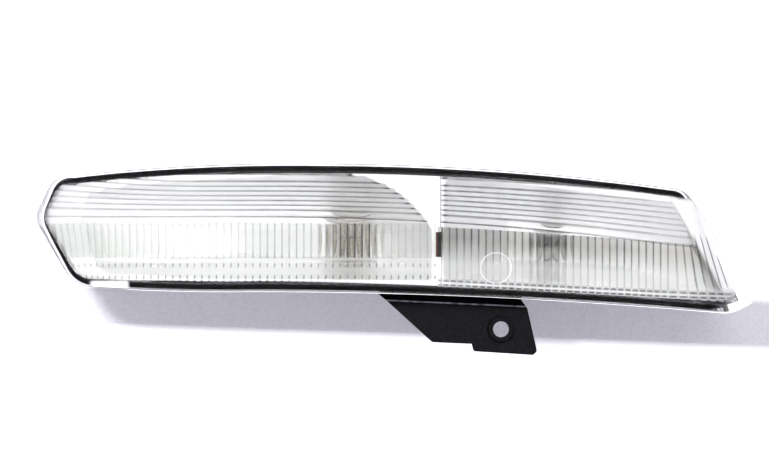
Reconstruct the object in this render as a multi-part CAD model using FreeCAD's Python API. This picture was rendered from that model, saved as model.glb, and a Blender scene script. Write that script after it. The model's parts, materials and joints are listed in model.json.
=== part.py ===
import FreeCAD
import Part

import math
import os

from FreeCAD import Vector

# All sizes are in millimetres, all turns in degrees.
# X runs to the outboard end, Y from the lens face back into the car, Z up.
# The origin is the centre of the bracket's fixing hole, on the seat in its dish.

# Front view of the lens: each run is a point to pass (None for a straight run) and its end
lens_outline_start = (-214.1, 77.1)
lens_outline_runs = [
    ((-151.9, 82.0), (-89.6, 83.0)),
    ((-20.4, 81.0), (84.4, 70.8)),
    ((92.9, 67.9), (97.2, 62.2)),
    ((110.4, 41.0), (122.5, 17.5)),
    (None, (125.5, 15.0)),
    ((126.5, 13.4), (125.4, 12.2)),
    (None, (117.6, 9.1)),
    ((113.2, 8.2), (108.7, 8.3)),
    ((-18.1, 16.65), (-120.6, 18.95)),
    ((-175.6, 19.55), (-207.0, 21.2)),
    ((-213.5, 23.9), (-219.0, 29.9)),
    (None, (-231.0, 49.8)),
    ((-233.0, 56.2), (-231.6, 61.5)),
    (None, (-226.5, 71.5)),
    ((-222.6, 75.3), (-214.1, 77.1)),
]
lens_left_x = min(end[0] for via, end in lens_outline_runs)
lens_right_x = max(end[0] for via, end in lens_outline_runs)

# Plan of the lens skin: a slight bow, a wrap at each end and a straight tail beyond each wrap
lens_lead = 24.0
bow_radius = 3000.0
bow_middle_x = -50.0
inboard_wrap_x = -185.6
inboard_wrap_radius = 85.0
inboard_wrap_turn = 34.0
inboard_tail = 24.0
outboard_wrap_x = 83.1
outboard_wrap_radius_low = 50.0
outboard_wrap_radius_high = 11.0
outboard_wrap_turn = 66.0
outboard_tail = 24.0
level_low = 4.0
level_high = 86.0

# Lens wall and its edge leg
lens_wall = 3.0
leg_inset = 2.15
leg_thickness = 1.0
leg_depth = 12.0

# Flutes: level ones above, upright ones below, both proud on the inside of the lens
flute_root = 2.15
flute_crown = 0.5
flute_field_inset = 5.0
level_flute_pitch = 2.36
level_flute_count = 6
level_flute_end_width = 3.6
level_flute_top = 77.5
level_flute_top_bend = 2120.0
level_flute_bottom_bend = 1515.0
level_flute_bend_x = -120.0
level_flute_steps = [1, 3, 5, 5, 1]
upright_flute_pitch = 3.63
upright_top_inboard = 52.9
upright_top_outboard = 51.2
upright_top_outboard_drop = 0.068
upright_bottom_inboard = 35.75
upright_bottom_outboard = 24.3
pillow_rows_inboard = [(30.75, 33.75), (24.75, 27.75)]
pillow_rows_outboard = [(21.75, 23.5), (18.75, 20.75)]
outboard_row_slope = 0.0515
upright_top_outboard_sag = 1.35
window_margin = 2.0
compartment_split_x = -32.2
split_land = 1.6

# Housing: channel for the leg, deep body and a dividing wall
lens_gap = 0.3
channel_inset = 1.2
channel_wall = 0.7
channel_slot = 1.5
channel_floor = 1.6
leg_end_gap = 0.4
body_inset = 2.3
body_wall = 1.8
body_depth = 58.0
back_wall = 2.2
inboard_back_depth = 44.0
inboard_slope_x = -188.0
divider_thickness = 1.4
divider_setback = 7.6
plan_margin = 12.0
seal_clearance = 0.05
seal_height = 4.4

# Reflectors
reflector_setback = 5.5
reflector_wall = 1.6
reflector_edge_gap = 0.3
bowl_inset = 6.4
bowl_corner_radius = 3.0
turn_bowl_depth = 38.0
position_bowl_depth = 36.0
bowl_shrinks = [1.0, 0.88, 0.66, 0.4]
bowl_wrap = 0.75
turn_corner_z = 50.0
turn_corner_points = [(16.5, 68.2), (45.5, 78.4)]
flange_joint_reach = 1.9
flange_joint_gap = 0.15
slit_width = 2.3
slit_low = 36.25
slit_high = 48.75
lamp_hole_gap = 0.6
screw_boss_length = 36.0
turn_lamp_x = -75.0
turn_lamp_z = 46.0
position_lamp_x = 25.0
position_lamp_z = 43.0

# Bulb holders: radii, and lengths along Y
holder_neck_gap = 0.3
turn_neck_radius = 13.9
turn_flange_radius = 18.0
turn_bore_radius = 8.6
turn_bore_depth = 17.0
position_neck_radius = 8.5
position_flange_radius = 12.5
position_slot_width = 10.8
position_slot_height = 4.4
position_bore_depth = 8.5
holder_neck_reach = 14.0
holder_flange_thickness = 3.0
holder_seal_thickness = 2.4
holder_seal_crown = 0.4
holder_web = 5.0
grip_share = 0.86
collar_height = 2.0
collar_wall = 4.3
lug_length = 2.5
lug_reach = 2.4
lug_width = 6.0
lug_turn = 90.0
notch_turn = 60.0
connector_wall = 1.8
turn_connector = (19.0, 10.0, 14.0)
position_connector = (13.0, 8.0, 14.0)
blade_thickness = 0.8
turn_blade_width = 6.3
turn_blade_spacing = 10.5
position_blade_width = 2.8
position_blade_spacing = 5.6
blade_reach = 9.0
blade_clearance = 0.05
contact_thickness = 0.9
spring_length = 6.4
spring_gap = 0.1

# Bulbs
bulb_wall = 0.8
turn_glass_radius = 12.4
turn_glass_length = 31.0
turn_glass_neck_radius = 6.6
turn_cap_radius = 7.5
turn_cap_length = 16.0
turn_cap_wall = 0.5
bayonet_pin_radius = 0.9
bayonet_pin_height = 0.9
bayonet_pin_place = 6.4
bayonet_groove_gap = 0.3
bayonet_groove_past = 2.4
cap_tip_radius = 2.2
cap_tip_height = 0.6
cap_edge = 1.0
position_glass_radius = 4.6
position_glass_length = 17.5
position_wedge = (9.6, 3.6, 8.5)
wire_radius = 0.22
coil_radius = 0.55
wire_foot_gap = 0.1
wire_foot_spread = 0.9
turn_shoulder_length = 9.0
turn_stem_rise = 3.0
turn_stem_tip_radius = 1.5
turn_stem_foot_radius = 3.0
turn_stem_depth = 3.5
turn_neck_depth = 5.0
turn_filament_rise = 12.0
turn_filament_half = 3.0
position_filament_rise = 7.0
position_filament_half = 2.0
position_press_depth = 2.5

# Fixing bracket: a bent plate; its front outline is trimmed by these points
bracket_thickness = 2.0
bracket_slope = 2.6
bracket_bend_z = 11.95
bracket_leg_z = 17.0
bracket_leg_end_y = 30.0
bracket_bend_radius = 3.0
bracket_bend_turn = 45.0
bracket_side_margin = 5.0
bracket_tab_foot_z = -20.0
fixing_hole_radius = 3.95
dish_radius = 7.1
dish_depth = 1.0
dish_boss_wall = 1.6
bracket_outline = [
    (-64.0, 30.0),
    (-62.0, 18.1),
    (-57.7, 14.7),
    (-34.4, -6.5),
    (-14.7, -7.3),
    (-13.8, -11.0),
    (16.2, -12.9),
    (18.1, -11.0),
    (13.2, 10.5),
    (10.2, 14.7),
    (10.2, 30.0),
]
bracket_corner_radius = 1.2

# Screws, stud, vents and locating peg
screw_radius = 1.6
screw_hole_gap = 0.05
screw_clearance_radius = 2.1
screw_head_radius = 3.6
screw_head_height = 2.4
screw_grip = 8.0
screw_end_gap = 1.0
screw_point = 1.0
screw_boss_radius = 4.0
screw_boss_gap = 0.3
reflector_screw_spots = {
    "turn": [(-150.0, 50.0), (-46.0, 58.0)],
    "position": [(-6.0, 47.0), (78.0, 40.0)],
}
bracket_screw_xs = [-46.0, -3.0]
bracket_screw_y = 17.0
bracket_pad_radius = 5.0
bracket_pad_height = 9.5
bracket_screw_grip = 8.0
peg_x = -165.0
peg_z = 52.0
peg_radius = 4.0
peg_length = 14.0
peg_foot_radius = 6.5
peg_foot_height = 2.0
peg_chamfer = 1.0
stud_x = 98.0
stud_z = 36.0
stud_radius = 3.0
stud_length = 16.0
stud_root_radius = 4.4
stud_root_length = 5.0
stud_boss_radius = 7.5
stud_boss_height = 5.0
stud_chamfer = 1.0
vent_spots = [(-125.0, 67.0), (62.0, 52.0)]
vent_pipe_radius = 3.0
vent_bore_radius = 1.75
vent_pipe_length = 8.0
vent_cap_wall = 1.3
vent_cap_gap = 0.1
vent_cap_space = 1.5
vent_cap_foot = 2.5
vent_cap_edge = 1.0
rib_thickness = 1.5
rib_height = 3.0
rib_zs = [34.0, 60.0]
rib_xs = [-148.0, -100.0, -48.0, 0.0, 50.0, 76.0]

# Far limits of the tools that cut and trim
far_front = -60.0
far_back = 110.0

# Places that follow from the sizes above
face_y = -lens_lead
back_y = body_depth - lens_lead
inner_back_y = back_y - back_wall
collar_y = back_y + collar_height
body_inner_inset = body_inset + body_wall
slot_inset = channel_inset + channel_wall
channel_inner_inset = slot_inset + channel_slot
slot_depth = leg_depth + leg_end_gap
channel_depth = slot_depth + channel_floor
flange_front_y = collar_y + holder_seal_thickness
flange_back_y = flange_front_y + holder_flange_thickness
neck_front_y = back_y - holder_neck_reach
flange_joint_x = compartment_split_x + flange_joint_reach


def sine(turn):
    """Sine of a turn in degrees."""
    return math.sin(math.radians(turn))


def cosine(turn):
    """Cosine of a turn in degrees."""
    return math.cos(math.radians(turn))


def rod(x, z, y_from, y_to, radius):
    """Cylinder along Y."""
    return Part.makeCylinder(radius, y_to - y_from, Vector(x, y_from, z), Vector(0, 1, 0))


def block(x_from, x_to, y_from, y_to, z_from, z_to):
    """Box between six planes."""
    corner = Vector(x_from, y_from, z_from)
    return Part.makeBox(x_to - x_from, y_to - y_from, z_to - z_from, corner)


def polygon_prism(points, y_from, y_to):
    """Prism along Y on a front-view polygon."""
    corners = [Vector(x, y_from, z) for x, z in points]
    face = Part.Face(Part.makePolygon(corners + corners[:1]))
    return face.extrude(Vector(0, y_to - y_from, 0))


def turned(x, z, profile):
    """Solid turned about an axis along Y; profile is a list of (radius, y)."""
    corners = [Vector(x + radius, y, z) for radius, y in profile]
    face = Part.Face(Part.makePolygon(corners + corners[:1]))
    return face.revolve(Vector(x, 0, z), Vector(0, 1, 0), 360)


def front_wire(start, runs):
    """Closed wire in the front view from straight and arc runs."""
    edges = []
    here = Vector(start[0], 0, start[1])
    for via, end in runs:
        there = Vector(end[0], 0, end[1])
        if via is None:
            edges.append(Part.makeLine(here, there))
        else:
            edges.append(Part.Arc(here, Vector(via[0], 0, via[1]), there).toShape())
        here = there
    return Part.Wire(edges)


def outline_face(inset):
    """Front-view face of the lens, shrunk by an inset."""
    wire = front_wire(lens_outline_start, lens_outline_runs)
    if inset > 0:
        wire = wire.makeOffset2D(-inset)
    return Part.Face(wire)


def outline_prism(inset):
    """Everything in front of and behind the shrunk lens outline."""
    face = outline_face(inset)
    face.translate(Vector(0, far_front, 0))
    return face.extrude(Vector(0, far_back - far_front, 0))


def outline_ring(outer_inset, inner_inset):
    """Ring between two insets of the lens outline, right through."""
    return outline_prism(outer_inset).cut(outline_prism(inner_inset))


def bow_turn(x):
    """Turn of the plan at a place on the slight bow."""
    return math.degrees(math.asin((x - bow_middle_x) / bow_radius))


inboard_bow_turn = bow_turn(inboard_wrap_x)
outboard_bow_turn = bow_turn(outboard_wrap_x)


def plan_arc(turn, z):
    """Centre and radius of the plan arc that holds a turn at height z."""
    bow_centre = (bow_middle_x, face_y + bow_radius)
    if inboard_bow_turn <= turn <= outboard_bow_turn:
        return bow_centre, bow_radius
    if turn < inboard_bow_turn:
        radius = inboard_wrap_radius
        join_turn = inboard_bow_turn
    else:
        rise = (z - level_low) / (level_high - level_low)
        spread = outboard_wrap_radius_high - outboard_wrap_radius_low
        radius = outboard_wrap_radius_low + rise * spread
        join_turn = outboard_bow_turn
    reach = bow_radius - radius
    centre = (bow_centre[0] + reach * sine(join_turn), bow_centre[1] - reach * cosine(join_turn))
    return centre, radius


def skin_point(spot, z, depth):
    """Point at a plan spot (turn, distance past the wrap), square in from the skin by depth."""
    turn, beyond = spot
    centre, radius = plan_arc(turn, z)
    x = centre[0] + (radius - depth) * sine(turn) + beyond * cosine(turn)
    y = centre[1] - (radius - depth) * cosine(turn) + beyond * sine(turn)
    return Vector(x, y, z)


def spots_between(first, last, count):
    """Evenly spaced plan spots from first to last."""
    spots = []
    for step in range(count + 1):
        share = step / count
        turn = first[0] + share * (last[0] - first[0])
        beyond = first[1] + share * (last[1] - first[1])
        spots.append((turn, beyond))
    return spots


inboard_end = (-inboard_wrap_turn, -inboard_tail)
inboard_wrap_end = (-inboard_wrap_turn, 0.0)
inboard_wrap_start = (inboard_bow_turn, 0.0)
outboard_wrap_start = (outboard_bow_turn, 0.0)
outboard_wrap_end = (outboard_wrap_turn, 0.0)
outboard_end = (outboard_wrap_turn, outboard_tail)
plan_runs = [
    (inboard_end, inboard_wrap_end),
    (inboard_wrap_end, inboard_wrap_start),
    (inboard_wrap_start, outboard_wrap_start),
    (outboard_wrap_start, outboard_wrap_end),
    (outboard_wrap_end, outboard_end),
]


def run_length(first, last):
    """Length of a plan run at mid height."""
    middle_z = (level_low + level_high) / 2
    arc_radius = plan_arc((first[0] + last[0]) / 2, middle_z)[1]
    return arc_radius * math.radians(last[0] - first[0]) + last[1] - first[1]


def closed_behind(edges):
    """Close a plan run of edges by three straight lines far behind it."""
    first = edges[0].Vertexes[0].Point
    last = edges[-1].Vertexes[-1].Point
    corners = [
        last,
        Vector(last.x, far_back, last.z),
        Vector(first.x, far_back, first.z),
        first,
    ]
    for start, end in zip(corners, corners[1:]):
        edges.append(Part.makeLine(start, end))
    return Part.Wire(edges)


def behind(depth, shift=0.0):
    """Everything behind the lens skin, square in by depth and then back by shift."""
    sections = []
    for level in (level_low, level_high):
        edges = []
        for first, last in plan_runs:
            middle = spots_between(first, last, 2)[1]
            points = [skin_point(spot, level, depth) for spot in (first, middle, last)]
            if first[0] == last[0]:
                edges.append(Part.makeLine(points[0], points[2]))
            else:
                edges.append(Part.Arc(*points).toShape())
        sections.append(closed_behind(edges))
    solid = Part.makeLoft(sections, True, True)
    solid.translate(Vector(0, shift, 0))
    return solid


def upright_flutes():
    """Everything behind the upright flutes, each an arc in plan that fans with the wraps."""
    sections = []
    for level in (level_low, level_high):
        edges = []
        for first, last in plan_runs:
            count = round(run_length(first, last) / upright_flute_pitch)
            spots = spots_between(first, last, 2 * count)
            for step in range(0, 2 * count, 2):
                start = skin_point(spots[step], level, flute_root)
                crown = skin_point(spots[step + 1], level, flute_root + flute_crown)
                end = skin_point(spots[step + 2], level, flute_root)
                edges.append(Part.Arc(start, crown, end).toShape())
        sections.append(closed_behind(edges))
    return Part.makeLoft(sections, True, True)


def level_flute_widths():
    """Heights of the level flutes from the top, the first and last ones wider."""
    return [level_flute_end_width] + [level_flute_pitch] * level_flute_count + [level_flute_end_width]


def level_line_height(x, drop):
    """Height of a level flute's edge: level inboard, then bending down outboard."""
    share = drop / sum(level_flute_widths())
    bend = level_flute_top_bend + share * (level_flute_bottom_bend - level_flute_top_bend)
    past = max(0.0, x - level_flute_bend_x)
    return level_flute_top - drop - past * past / (2 * bend)


def level_section(spot):
    """Closed section of the level flutes across the lens at one plan spot."""
    middle_z = (level_low + level_high) / 2
    x = skin_point(spot, middle_z, flute_root).x
    widths = level_flute_widths()
    drops = [sum(widths[:step]) for step in range(len(widths) + 1)]
    points = [skin_point(spot, level_line_height(x, drop), flute_root) for drop in drops]
    edges = []
    for start, end in zip(points, points[1:]):
        crown = (start + end) * 0.5 + Vector(0, flute_crown, 0)
        edges.append(Part.Arc(start, crown, end).toShape())
    corners = [
        points[-1],
        Vector(points[-1].x, far_back, points[-1].z),
        Vector(points[0].x, far_back, points[0].z),
        points[0],
    ]
    for start, end in zip(corners, corners[1:]):
        edges.append(Part.makeLine(start, end))
    return Part.Wire(edges)


def level_flutes():
    """Everything behind the level flutes, ruled from section to section along the lens."""
    spots = [inboard_end]
    for (first, last), count in zip(plan_runs, level_flute_steps):
        spots.extend(spots_between(first, last, count)[1:])
    return Part.makeLoft([level_section(spot) for spot in spots], True, True)


def row_window(x_from, x_to, z_from, z_to, slope):
    """Front-view window of a row that drops outboard by slope."""
    points = []
    for x, z in ((x_from, z_from), (x_to, z_from), (x_to, z_to), (x_from, z_to)):
        points.append((x, z - slope * x))
    return polygon_prism(points, far_front, far_back)


def upright_windows():
    """Front-view windows that the upright flutes and the pillow rows fill."""
    left = lens_left_x - window_margin
    right = lens_right_x + window_margin
    split_left = compartment_split_x - split_land / 2
    split_right = compartment_split_x + split_land / 2
    windows = [row_window(left, split_left, upright_bottom_inboard, upright_top_inboard, 0.0)]
    for low, high in pillow_rows_inboard:
        windows.append(row_window(left, split_left, low, high, 0.0))
    for low, high in pillow_rows_outboard:
        windows.append(row_window(split_right, right, low, high, outboard_row_slope))
    reach = right - split_right
    middle_x = split_right + reach / 2
    top_middle = upright_top_outboard - upright_top_outboard_drop * reach / 2
    top_end = upright_top_outboard - upright_top_outboard_drop * upright_top_outboard_sag * reach
    foot_start = upright_bottom_outboard - outboard_row_slope * split_right
    foot_end = upright_bottom_outboard - outboard_row_slope * right
    tall = front_wire(
        (split_right, upright_top_outboard),
        [
            ((middle_x, top_middle), (right, top_end)),
            (None, (right, foot_end)),
            (None, (split_right, foot_start)),
            (None, (split_right, upright_top_outboard)),
        ],
    )
    tall_face = Part.Face(tall)
    tall_face.translate(Vector(0, far_front, 0))
    windows.append(tall_face.extrude(Vector(0, far_back - far_front, 0)))
    return Part.makeCompound(windows)


def build_lens():
    """Clear lens: wall, edge leg and both fields of flutes in one moulding."""
    wall = outline_prism(0.0).common(behind(0.0)).cut(behind(lens_wall))
    leg = outline_ring(leg_inset, leg_inset + leg_thickness)
    leg = leg.common(behind(flute_root)).cut(behind(0.0, leg_depth))
    field = outline_prism(flute_field_inset)
    level_field = level_flutes().common(field)
    upright_field = upright_flutes().common(field).common(upright_windows())
    return wall.cut(level_field).cut(upright_field).fuse(leg)


def body_plan(wall):
    """Plan trim of the housing's back, brought forward by a wall."""
    left = lens_left_x - plan_margin
    right = lens_right_x + plan_margin
    corners = [
        Vector(left, far_front, 0),
        Vector(right, far_front, 0),
        Vector(right, back_y - wall, 0),
        Vector(inboard_slope_x, back_y - wall, 0),
        Vector(left, face_y + inboard_back_depth - wall, 0),
    ]
    face = Part.Face(Part.makePolygon(corners + corners[:1]))
    return face.extrude(Vector(0, 0, level_high + level_low))


def bracket_frame(shape):
    """Turn a shape made square to the bracket into the bracket's slope."""
    shape.rotate(Vector(0, 0, 0), Vector(0, 1, 0), bracket_slope)
    return shape


def build_housing():
    """Black housing: channel, body, divider, collars, bosses, pipes, peg and ribs."""
    channel = outline_prism(channel_inset).common(behind(lens_wall + lens_gap))
    channel = channel.cut(behind(0.0, channel_depth))
    body = outline_prism(body_inset).common(behind(0.0, slot_depth)).common(body_plan(0.0))
    hollow = outline_prism(body_inner_inset).common(body_plan(back_wall))
    slot = outline_ring(slot_inset, channel_inner_inset).cut(behind(0.0, slot_depth))
    housing = channel.fuse(body).cut(hollow).cut(slot)
    additions = [housing_divider()]
    additions.extend(housing_back_features())
    for x in bracket_screw_xs:
        pad_base = Vector(x, bracket_screw_y, bracket_leg_z)
        additions.append(bracket_frame(Part.makeCylinder(bracket_pad_radius, bracket_pad_height, pad_base)))
    housing = housing.fuse(additions)
    return housing.cut(housing_holes())


def housing_divider():
    """Wall between the two compartments."""
    half = divider_thickness / 2
    wall = block(compartment_split_x - half, compartment_split_x + half, far_front, back_y, 0, level_high)
    reach = outline_prism((channel_inner_inset + body_inner_inset) / 2)
    return wall.common(reach).common(behind(divider_setback))


def housing_back_features():
    """What stands on the back wall: collars, peg, stud boss, vent pipes and ribs."""
    features = []
    turn_collar = turn_neck_radius + holder_neck_gap + collar_wall
    position_collar = position_neck_radius + holder_neck_gap + collar_wall
    features.append(rod(turn_lamp_x, turn_lamp_z, inner_back_y, collar_y, turn_collar))
    features.append(rod(position_lamp_x, position_lamp_z, inner_back_y, collar_y, position_collar))
    peg_tip_y = back_y + peg_length
    features.append(turned(peg_x, peg_z, [
        (0, inner_back_y),
        (peg_foot_radius, inner_back_y),
        (peg_foot_radius, back_y + peg_foot_height),
        (peg_radius, back_y + peg_foot_height),
        (peg_radius, peg_tip_y - peg_chamfer),
        (peg_radius - peg_chamfer, peg_tip_y),
        (0, peg_tip_y),
    ]))
    boss_front = back_y - stud_root_length
    features.append(rod(stud_x, stud_z, boss_front, back_y + stud_boss_height, stud_boss_radius))
    for x, z in vent_spots:
        features.append(rod(x, z, inner_back_y, back_y + vent_pipe_length, vent_pipe_radius))
    reach = outline_prism(body_inner_inset)
    slope = body_plan(0.0)
    slope.translate(Vector(0, rib_height, 0))
    half = rib_thickness / 2
    for z in rib_zs:
        rib = block(inboard_slope_x, stud_x, inner_back_y, back_y + rib_height, z - half, z + half)
        features.append(rib.common(reach).common(slope))
    for x in rib_xs:
        rib = block(x - half, x + half, inner_back_y, back_y + rib_height, 0, level_high)
        features.append(rib.common(reach).common(slope))
    return features


def holder_hole(x, z, neck_radius):
    """Round hole for a holder's neck with three notches for its lugs, and room behind it."""
    radius = neck_radius + holder_neck_gap
    hole = rod(x, z, inner_back_y - 1.0, collar_y + 1.0, radius)
    notches = holder_lugs(x, z, neck_radius, inner_back_y - 1.0, collar_y + 1.0, holder_neck_gap)
    notches.rotate(Vector(x, 0, z), Vector(0, 1, 0), notch_turn)
    behind_collar = rod(x, z, collar_y, far_back, radius + collar_wall + holder_neck_gap)
    return hole.fuse([notches, behind_collar])


def housing_holes():
    """What is cut through the housing after everything is joined to it."""
    holes = [
        holder_hole(turn_lamp_x, turn_lamp_z, turn_neck_radius),
        holder_hole(position_lamp_x, position_lamp_z, position_neck_radius),
    ]
    root_front = back_y + stud_boss_height - stud_root_length
    root_radius = stud_root_radius + screw_hole_gap
    holes.append(rod(stud_x, stud_z, root_front, far_back, root_radius))
    for x, z in vent_spots:
        holes.append(rod(x, z, inner_back_y - 1.0, far_back, vent_bore_radius))
    for spots in reflector_screw_spots.values():
        for x, z in spots:
            holes.append(rod(x, z, inner_back_y - 1.0, back_y, screw_clearance_radius))
            seat_radius = screw_head_radius + screw_boss_gap
            holes.append(rod(x, z, back_y, far_back, seat_radius))
    for x in bracket_screw_xs:
        start = Vector(x, bracket_screw_y, bracket_leg_z)
        pilot = Part.makeCylinder(screw_radius + screw_hole_gap, bracket_screw_grip, start)
        holes.append(bracket_frame(pilot))
    return Part.makeCompound(holes)


def build_seal():
    """Sealant bead round the end of the lens leg, in the channel's floor."""
    top = leg_depth - seal_height
    bottom = slot_depth - seal_clearance
    bead = outline_ring(slot_inset + seal_clearance, channel_inner_inset - seal_clearance)
    bead = bead.common(behind(0.0, top)).cut(behind(0.0, bottom))
    outer = leg_inset - seal_clearance
    inner = leg_inset + leg_thickness + seal_clearance
    groove = outline_ring(outer, inner).cut(behind(0.0, leg_depth + seal_clearance))
    return bead.cut(groove)


def turn_side():
    """Front-view side of the inboard bowl, with its large rounded corner."""
    edge = compartment_split_x - divider_thickness / 2 - reflector_edge_gap - reflector_wall
    far_x = lens_left_x - plan_margin
    (via_reach, via_z), (end_reach, end_z) = turn_corner_points
    return front_wire((edge, 0), [
        (None, (edge, turn_corner_z)),
        ((edge - via_reach, via_z), (edge - end_reach, end_z)),
        (None, (edge - end_reach, far_back)),
        (None, (far_x, far_back)),
        (None, (far_x, 0)),
        (None, (edge, 0)),
    ])


def position_side():
    """Front-view side of the outboard bowl, with its crisp edge."""
    edge = flange_joint_x + flange_joint_gap + reflector_wall
    far_x = lens_right_x + plan_margin
    return front_wire((edge, 0), [
        (None, (edge, far_back)),
        (None, (far_x, far_back)),
        (None, (far_x, 0)),
        (None, (edge, 0)),
    ])


def compartment_side(x, edge):
    """Everything on the other side of an upright plane from a lamp at x."""
    if x < edge:
        return block(edge, lens_right_x + plan_margin, far_front, far_back, 0, far_back)
    return block(lens_left_x - plan_margin, edge, far_front, far_back, 0, far_back)


def bowl_mouth(side):
    """Mouth of a bowl: the lens outline less an inset, on one side, with rounded corners."""
    mouth = outline_face(bowl_inset).common(Part.Face(side)).Faces[0].OuterWire
    shrunk = mouth.makeOffset2D(-bowl_corner_radius)
    return shrunk.makeOffset2D(bowl_corner_radius)


def bowl(mouth, x, z, depth, growth):
    """Solid that fills a bowl, its sections shrinking to the lamp along a parabola."""
    mouth_y = face_y + reflector_setback
    sections = []
    for shrink in bowl_shrinks:
        section = mouth.copy()
        section.scale(shrink, Vector(x, 0, z))
        if growth > 0:
            section = section.makeOffset2D(growth)
        section.translate(Vector(0, mouth_y + depth * (1 - shrink * shrink) + growth, 0))
        sections.append(section)
    deep = Part.makeLoft(sections, True, False)
    front = Part.Face(sections[0]).extrude(Vector(0, far_front - mouth_y, 0))
    return deep.fuse(front)


def build_reflector(side, x, z, depth, lamp_radius, spots):
    """Bright bowl with a flange behind the lens, a lamp neck and two screw bosses."""
    hand = 1 if x < compartment_split_x else -1
    cavity = outline_prism(body_inner_inset + reflector_edge_gap)
    wall_edge = compartment_split_x - hand * (divider_thickness / 2 + reflector_edge_gap)
    compartment = cavity.cut(compartment_side(x, wall_edge))
    front = behind(reflector_setback)
    flange = front.cut(behind(reflector_setback + reflector_wall))
    flange_area = cavity.cut(compartment_side(x, flange_joint_x - hand * flange_joint_gap))
    flange = flange.common(flange_area)
    flange = flange.cut(block(flange_joint_x - slit_width, flange_joint_x, far_front, far_back,
                              slit_low, slit_high))
    mouth = bowl_mouth(side)
    shell = bowl(mouth, x, z, depth, reflector_wall).common(compartment).common(front)
    neck_end = inner_back_y - lug_length - 2 * screw_boss_gap - reflector_wall
    pieces = [shell, rod(x, z, face_y + depth * bowl_wrap, neck_end, lamp_radius + reflector_wall)]
    boss_end = inner_back_y - screw_boss_gap
    for boss_x, boss_z in spots:
        pieces.append(rod(boss_x, boss_z, boss_end - screw_boss_length, boss_end, screw_boss_radius))
    reflector = flange.fuse(pieces).common(front)
    reflector = reflector.cut(bowl(mouth, x, z, depth, 0.0))
    holes = [rod(x, z, far_front, far_back, lamp_radius)]
    for boss_x, boss_z in spots:
        pilot_start = boss_end - screw_grip
        holes.append(rod(boss_x, boss_z, pilot_start, far_back, screw_radius + screw_hole_gap))
    return reflector.cut(Part.makeCompound(holes))


def holder_lugs(x, z, neck_radius, y_from, y_to, gap):
    """Three radial lugs, or their notches with a gap, about a holder's neck."""
    reach = neck_radius + lug_reach + gap
    ring = rod(x, z, y_from, y_to, reach)
    bars = []
    for step in range(3):
        bar = block(x, x + reach + 1.0, y_from, y_to, z - lug_width / 2 - gap, z + lug_width / 2 + gap)
        bar.rotate(Vector(x, 0, z), Vector(0, 1, 0), 120 * step + lug_turn)
        bars.append(bar.common(ring))
    return bars[0].fuse(bars[1:])


def blade_xs(x, spacing):
    """Places of the two blades of a holder."""
    return [x - spacing / 2, x + spacing / 2]


def build_holder(x, z, neck_radius, flange_radius, bore, bore_depth, connector, blade):
    """Bulb holder: neck with lugs, flange and connector shroud, less its bore and blade slots."""
    width, height, cavity = connector
    blade_width, spacing = blade
    bore_floor_y = neck_front_y + bore_depth
    web_y = max(bore_floor_y, flange_back_y) + holder_web
    shroud_end_y = web_y + cavity
    neck = rod(x, z, neck_front_y, flange_back_y, neck_radius)
    flange = rod(x, z, flange_front_y, flange_back_y, flange_radius)
    lug_end = inner_back_y - screw_boss_gap
    lugs = holder_lugs(x, z, neck_radius, lug_end - lug_length, lug_end, 0.0)
    half_width = width / 2 + connector_wall
    half_height = height / 2 + connector_wall
    shroud = block(x - half_width, x + half_width, flange_back_y - 1.0, shroud_end_y,
                   z - half_height, z + half_height)
    side_edges = [edge for edge in shroud.Edges if abs(edge.tangentAt(edge.FirstParameter).y) > 0.9]
    shroud = shroud.makeFillet(connector_wall, side_edges)
    grip_half = flange_radius * grip_share
    grip = block(x - grip_half, x + grip_half, flange_back_y, flange_back_y + holder_web,
                 z - blade_width / 2, z + blade_width / 2)
    cavity_box = block(x - width / 2, x + width / 2, web_y, shroud_end_y,
                       z - height / 2, z + height / 2)
    holder = neck.fuse([flange, lugs, shroud, grip]).cut(bore).cut(cavity_box)
    slots = []
    slot_width = blade_width / 2 + blade_clearance
    slot_half = blade_thickness / 2 + blade_clearance
    for blade_x in blade_xs(x, spacing):
        slots.append(block(blade_x - slot_half, blade_x + slot_half, bore_floor_y - 1.0, web_y + 1.0,
                           z - slot_width, z + slot_width))
    return holder.cut(Part.makeCompound(slots))


def turn_bore():
    """Bayonet bore of the turn signal holder with its two pin grooves."""
    end = neck_front_y + turn_bore_depth
    bore = rod(turn_lamp_x, turn_lamp_z, neck_front_y - 1.0, end, turn_bore_radius)
    reach = turn_cap_radius + bayonet_pin_height + 2 * bayonet_groove_gap
    groove_half = bayonet_pin_radius + bayonet_groove_gap
    groove_end = turn_cap_front_y() + bayonet_pin_place + bayonet_groove_past
    groove = block(turn_lamp_x - reach, turn_lamp_x + reach, neck_front_y - 1.0, groove_end,
                   turn_lamp_z - groove_half, turn_lamp_z + groove_half)
    return bore.fuse(groove)


def position_bore():
    """Flat slot that grips the wedge bulb."""
    half_width = position_slot_width / 2
    half_height = position_slot_height / 2
    return block(position_lamp_x - half_width, position_lamp_x + half_width,
                 neck_front_y - 1.0, neck_front_y + position_bore_depth,
                 position_lamp_z - half_height, position_lamp_z + half_height)


def build_turn_holder():
    """Holder of the turn signal bulb."""
    return build_holder(turn_lamp_x, turn_lamp_z, turn_neck_radius, turn_flange_radius, turn_bore(),
                        turn_bore_depth, turn_connector, (turn_blade_width, turn_blade_spacing))


def build_position_holder():
    """Holder of the position bulb."""
    blade = (position_blade_width, position_blade_spacing)
    return build_holder(position_lamp_x, position_lamp_z, position_neck_radius,
                        position_flange_radius, position_bore(), position_bore_depth,
                        position_connector, blade)


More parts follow.
